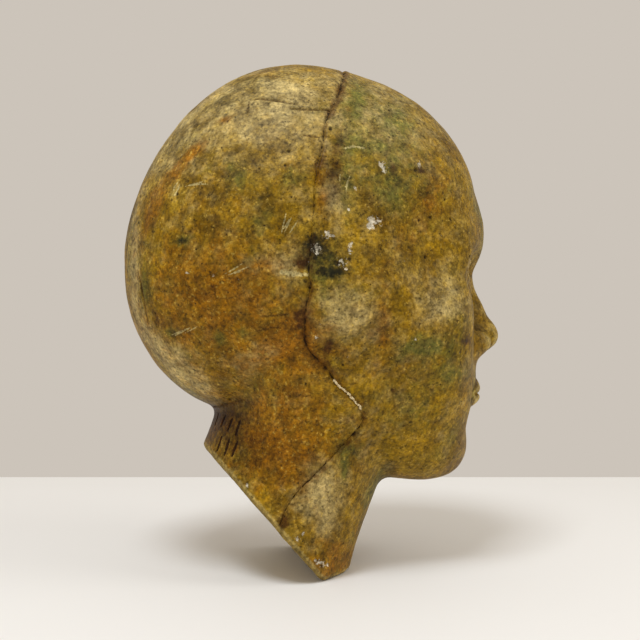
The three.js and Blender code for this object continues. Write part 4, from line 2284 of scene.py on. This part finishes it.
@dataclass(frozen=True)
class SeamFiller:
    """Crumbs of filler that were pressed into the seam below the right ear's place.

    Attributes:
        path: Points along it, as they are seen from the right flank.
        rounds: How often its line is drawn nearer to the seam.
        pull: The share of the distance that it is drawn each time.
        pull_up: How much of that is upwards.
        spacing: Distance between the crumbs.
        crumb: A crumb's radius.
        divisions: How often a crumb's faces are divided.
        sizes: The smallest and the largest crumb, in crumbs.
        stray: How far a crumb lies from its place on the line.
        lump: Size of the lumps on a crumb.
        lump_height: Their height.
        sunk: How deep its line lies under the surface.
        seed: Starts the random numbers.
        finish: Its finish.
    """

    path: tuple[Pair, ...] = ((19, -59.5), (26, -66.5), (29, -69.5), (33.5, -74))
    rounds: int = 3
    pull: float = 0.8
    pull_up: float = 0.5
    spacing: float = 0.55
    crumb: float = 0.62
    divisions: int = 2
    sizes: Pair = (0.55, 1.15)
    stray: float = 0.25
    lump: float = 0.9
    lump_height: float = 0.8
    sunk: float = 0.25
    seed: int = 3
    finish: LimeFiller = LimeFiller()

    def guide(self, form: HeadForm, seam: Seam) -> bpy.types.Mesh:
        """Lay the crumbs' line along the seam.

        Args:
            form: The head's form.
            seam: The seam that the line follows.

        Returns:
            A mesh of edges.
        """
        seen = Mark(Wear.GROOVE, self.path, 1.0, 0.0).trail()
        places = form.laid_on(RIGHT, seen)
        for _ in range(self.rounds):
            offset, _ = seam.offsets(places)
            seen = seen - np.stack([offset, self.pull_up * offset], 1) * self.pull
            places = form.laid_on(RIGHT, seen)
        places = places - RIGHT.ways()[2] * self.sunk
        guide = bpy.data.meshes.new("seam_guide")
        edges = [(at, at + 1) for at in range(len(places) - 1)]
        guide.from_pydata((form.stand.to_foot(places) * MM).tolist(), edges, [])
        return guide

    def lumpy_crumb(self, tree: Tree, radius: Socket) -> Node:
        """Add the nodes of one crumb.

        Args:
            tree: The node group.
            radius: The crumb's radius.

        Returns:
            The node that gives its mesh.
        """
        fills = {"Radius": radius, "Subdivisions": self.divisions}
        ball = add_node(tree, "GeometryNodeMeshIcoSphere", fills)
        rough = add_node(tree, "ShaderNodeTexNoise", {"Scale": per_metre(self.lump)} | CRUMB_NOISE)
        fills = {0: rough.outputs["Color"], 1: (NOISE_MIDDLE,) * 3}
        lumps = add_node(tree, "ShaderNodeVectorMath", fills, operation="SUBTRACT")
        fills = {0: lumps, "Scale": self.lump_height * MM}
        lumpy = add_node(tree, "ShaderNodeVectorMath", fills, operation="SCALE")
        return add_node(tree, "GeometryNodeSetPosition", {"Geometry": ball, "Offset": lumpy})

    def tree(self) -> Tree:
        """Build the node group that sets crumbs along a line, with its inputs.

        Returns:
            The node group.
        """
        tree = bpy.data.node_groups.new("crumbs_along_seam", "GeometryNodeTree")
        inputs = {
            "Geometry": "NodeSocketGeometry",
            "Spacing": "NodeSocketFloat",
            "Crumb Radius": "NodeSocketFloat",
            "Seed": "NodeSocketInt",
            "Material": "NodeSocketMaterial",
        }
        for name, kind in inputs.items():
            tree.interface.new_socket(name, in_out="INPUT", socket_type=kind)
        tree.interface.new_socket("Geometry", in_out="OUTPUT", socket_type="NodeSocketGeometry")
        given = add_node(tree, "NodeGroupInput").outputs
        line = add_node(tree, "GeometryNodeMeshToCurve", {"Mesh": given["Geometry"]})
        fills = {"Curve": line, "Length": given["Spacing"]}
        points = add_node(tree, "GeometryNodeCurveToPoints", fills, mode="LENGTH")
        reach = self.stray * MM
        fills = {0: (-reach,) * 3, 1: (reach,) * 3, "Seed": given["Seed"]}
        stray = add_node(tree, "FunctionNodeRandomValue", fills, data_type="FLOAT_VECTOR")
        strayed = add_node(tree, "GeometryNodeSetPosition", {"Geometry": points, "Offset": stray})
        fills = {0: (0.0,) * 3, 1: (math.tau,) * 3, "Seed": given["Seed"]}
        turn = add_node(tree, "FunctionNodeRandomValue", fills, data_type="FLOAT_VECTOR")
        fills = {2: self.sizes[0], 3: self.sizes[1], "Seed": given["Seed"]}
        size = add_node(tree, "FunctionNodeRandomValue", fills, data_type="FLOAT")
        fills = {
            "Points": strayed,
            "Instance": self.lumpy_crumb(tree, given["Crumb Radius"]),
            "Rotation": turn,
            "Scale": size.outputs[1],
        }
        crumbs = add_node(tree, "GeometryNodeInstanceOnPoints", fills)
        real = add_node(tree, "GeometryNodeRealizeInstances", {"Geometry": crumbs})
        fills = {"Geometry": real, "Material": given["Material"]}
        dressed = add_node(tree, "GeometryNodeSetMaterial", fills)
        add_node(tree, "NodeGroupOutput", {"Geometry": dressed})
        return tree

    def build(self, form: HeadForm, seam: Seam) -> bpy.types.Object:
        """Build the crumbs as one mesh in the seam.

        Args:
            form: The head's form.
            seam: The seam that they lie in.

        Returns:
            The finished piece.
        """
        carrier = add_object("seam_guide", self.guide(form, seam))
        modifier = carrier.modifiers.new("crumbs", "NODES")
        modifier.node_group = self.tree()
        given = {
            "Spacing": self.spacing * MM,
            "Crumb Radius": self.crumb * MM,
            "Seed": self.seed,
            "Material": self.finish.build(),
        }
        for item in modifier.node_group.interface.items_tree:
            if item.in_out == "INPUT" and item.name in given:
                modifier[item.identifier] = given[item.name]
        evaluated = carrier.evaluated_get(bpy.context.evaluated_depsgraph_get())
        made = bpy.data.meshes.new_from_object(evaluated)
        bpy.data.objects.remove(carrier)
        made.shade_smooth()
        piece = add_object("seam_filler", made)
        put_on_body(piece)
        return piece


# The studio


@dataclass(frozen=True)
class Lamp:
    """A soft square light.

    Attributes:
        name: Its name.
        at: Where it hangs, in metres.
        size: Its side in metres.
        power: Its power in watts.
        colour: Its sRGB colour.
    """

    name: str
    at: Place
    size: float
    power: float
    colour: str

    def build(self, aim: Vector) -> None:
        """Hang the light and turn it to a point.

        Args:
            aim: The point in metres.
        """
        data = bpy.data.lights.new(self.name, "AREA")
        data.size = self.size
        data.energy = self.power
        data.color = linear(self.colour)[:3]
        lamp = add_object(self.name, data)
        lamp.location = self.at
        lamp.rotation_euler = (aim - Vector(self.at)).to_track_quat("-Z", "Y").to_euler()


@dataclass(frozen=True)
class Studio:
    """A pale table top before a plain wall's light, and the camera.

    Attributes:
        azimuth: Degrees that the camera is turned round the head.
        distance: The camera's distance from its aim in metres.
        lens: Its focal length in millimetres.
        sensor: Its sensor's width in millimetres.
        nearest: How near it sees, in metres.
        aim: Its aim in metres.
        table_far: How far the table runs behind the head, in metres.
        table_near: How far it runs before the head.
        table_half: Half its width.
        table_thickness: How thick it is.
        table_edge: How far its edges are rounded.
        edge_segments: In how many steps they are.
        table_colour: Its sRGB colour.
        table_roughness: The roughness of its paint.
        wall_colour: The sRGB colour of the light behind and around.
        wall_strength: How strong that light is.
        lamps: The lights.
    """

    azimuth: float = -12.5
    distance: float = 0.563
    lens: float = 56.25
    sensor: float = 36.0
    nearest: float = 0.01
    aim: Place = (-0.0031, 0.0, 0.1362)
    table_far: float = 0.305
    table_near: float = 1.1
    table_half: float = 1.4
    table_thickness: float = 0.02
    table_edge: float = 0.002
    edge_segments: int = 3
    table_colour: str = "#EDEBE6"
    table_roughness: float = 0.6
    wall_colour: str = "#CCC4BA"
    wall_strength: float = 1.0
    lamps: tuple[Lamp, ...] = (
        Lamp("key_light", (-0.35, -0.55, 1.35), 0.4, 12.0, "#F0F6FF"),
        Lamp("fill_light", (0.9, -0.5, 0.9), 0.5, 3.0, "#FFFFFF"),
    )

    def build(self) -> None:
        """Set up the table, the light and the camera."""
        bpy.context.scene.view_settings.view_transform = "Standard"
        self.build_table()
        for lamp in self.lamps:
            lamp.build(Vector(self.aim))
        world = bpy.data.worlds.new("studio")
        world.use_nodes = True
        ground = world.node_tree.nodes["Background"]
        ground.inputs["Color"].default_value = linear(self.wall_colour)
        ground.inputs["Strength"].default_value = self.wall_strength
        bpy.context.scene.world = world
        self.build_camera()

    def build_table(self) -> None:
        """Lay the pale table top that the head stands on."""
        material = bpy.data.materials.new("painted table top")
        material.use_nodes = True
        shader = material.node_tree.nodes["Principled BSDF"]
        shader.inputs["Base Color"].default_value = linear(self.table_colour)
        shader.inputs["Roughness"].default_value = self.table_roughness
        outline = bmesh.new()
        bmesh.ops.create_cube(outline, size=2.0)
        for corner in outline.verts:
            far = corner.co.y > 0.0
            corner.co.x *= self.table_half
            corner.co.y = self.table_far if far else -self.table_near
            corner.co.z = 0.0 if corner.co.z > 0.0 else -self.table_thickness
        edges = {"offset": self.table_edge, "segments": self.edge_segments, "affect": "EDGES"}
        bmesh.ops.bevel(outline, geom=outline.edges[:], **edges)
        bmesh.ops.rotate(
            outline, verts=outline.verts[:], matrix=Matrix.Rotation(math.radians(self.azimuth), 3, "Z")
        )
        made = bpy.data.meshes.new("table")
        outline.to_mesh(made)
        outline.free()
        made.materials.append(material)
        add_object("table", made)

    def build_camera(self) -> None:
        """Place the camera where the photograph was taken from."""
        turn = math.radians(self.azimuth)
        back = Vector((math.sin(turn), -math.cos(turn), 0.0))
        data = bpy.data.cameras.new("camera")
        data.lens = self.lens
        data.sensor_width = self.sensor
        data.clip_start = self.nearest
        camera = add_object("camera", data)
        camera.location = Vector(self.aim) + back * self.distance
        camera.rotation_euler = (-back).to_track_quat("-Z", "Y").to_euler()
        bpy.context.scene.camera = camera


def main() -> None:
    """Build the head and its studio in order."""
    logging.basicConfig(level=logging.INFO, format="%(name)s: %(message)s")
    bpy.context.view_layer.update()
    head = PlasterHead()
    head.build()
    SeamFiller().build(head.form, head.seam)
    Studio().build()


if __name__ == "__main__":
    main()
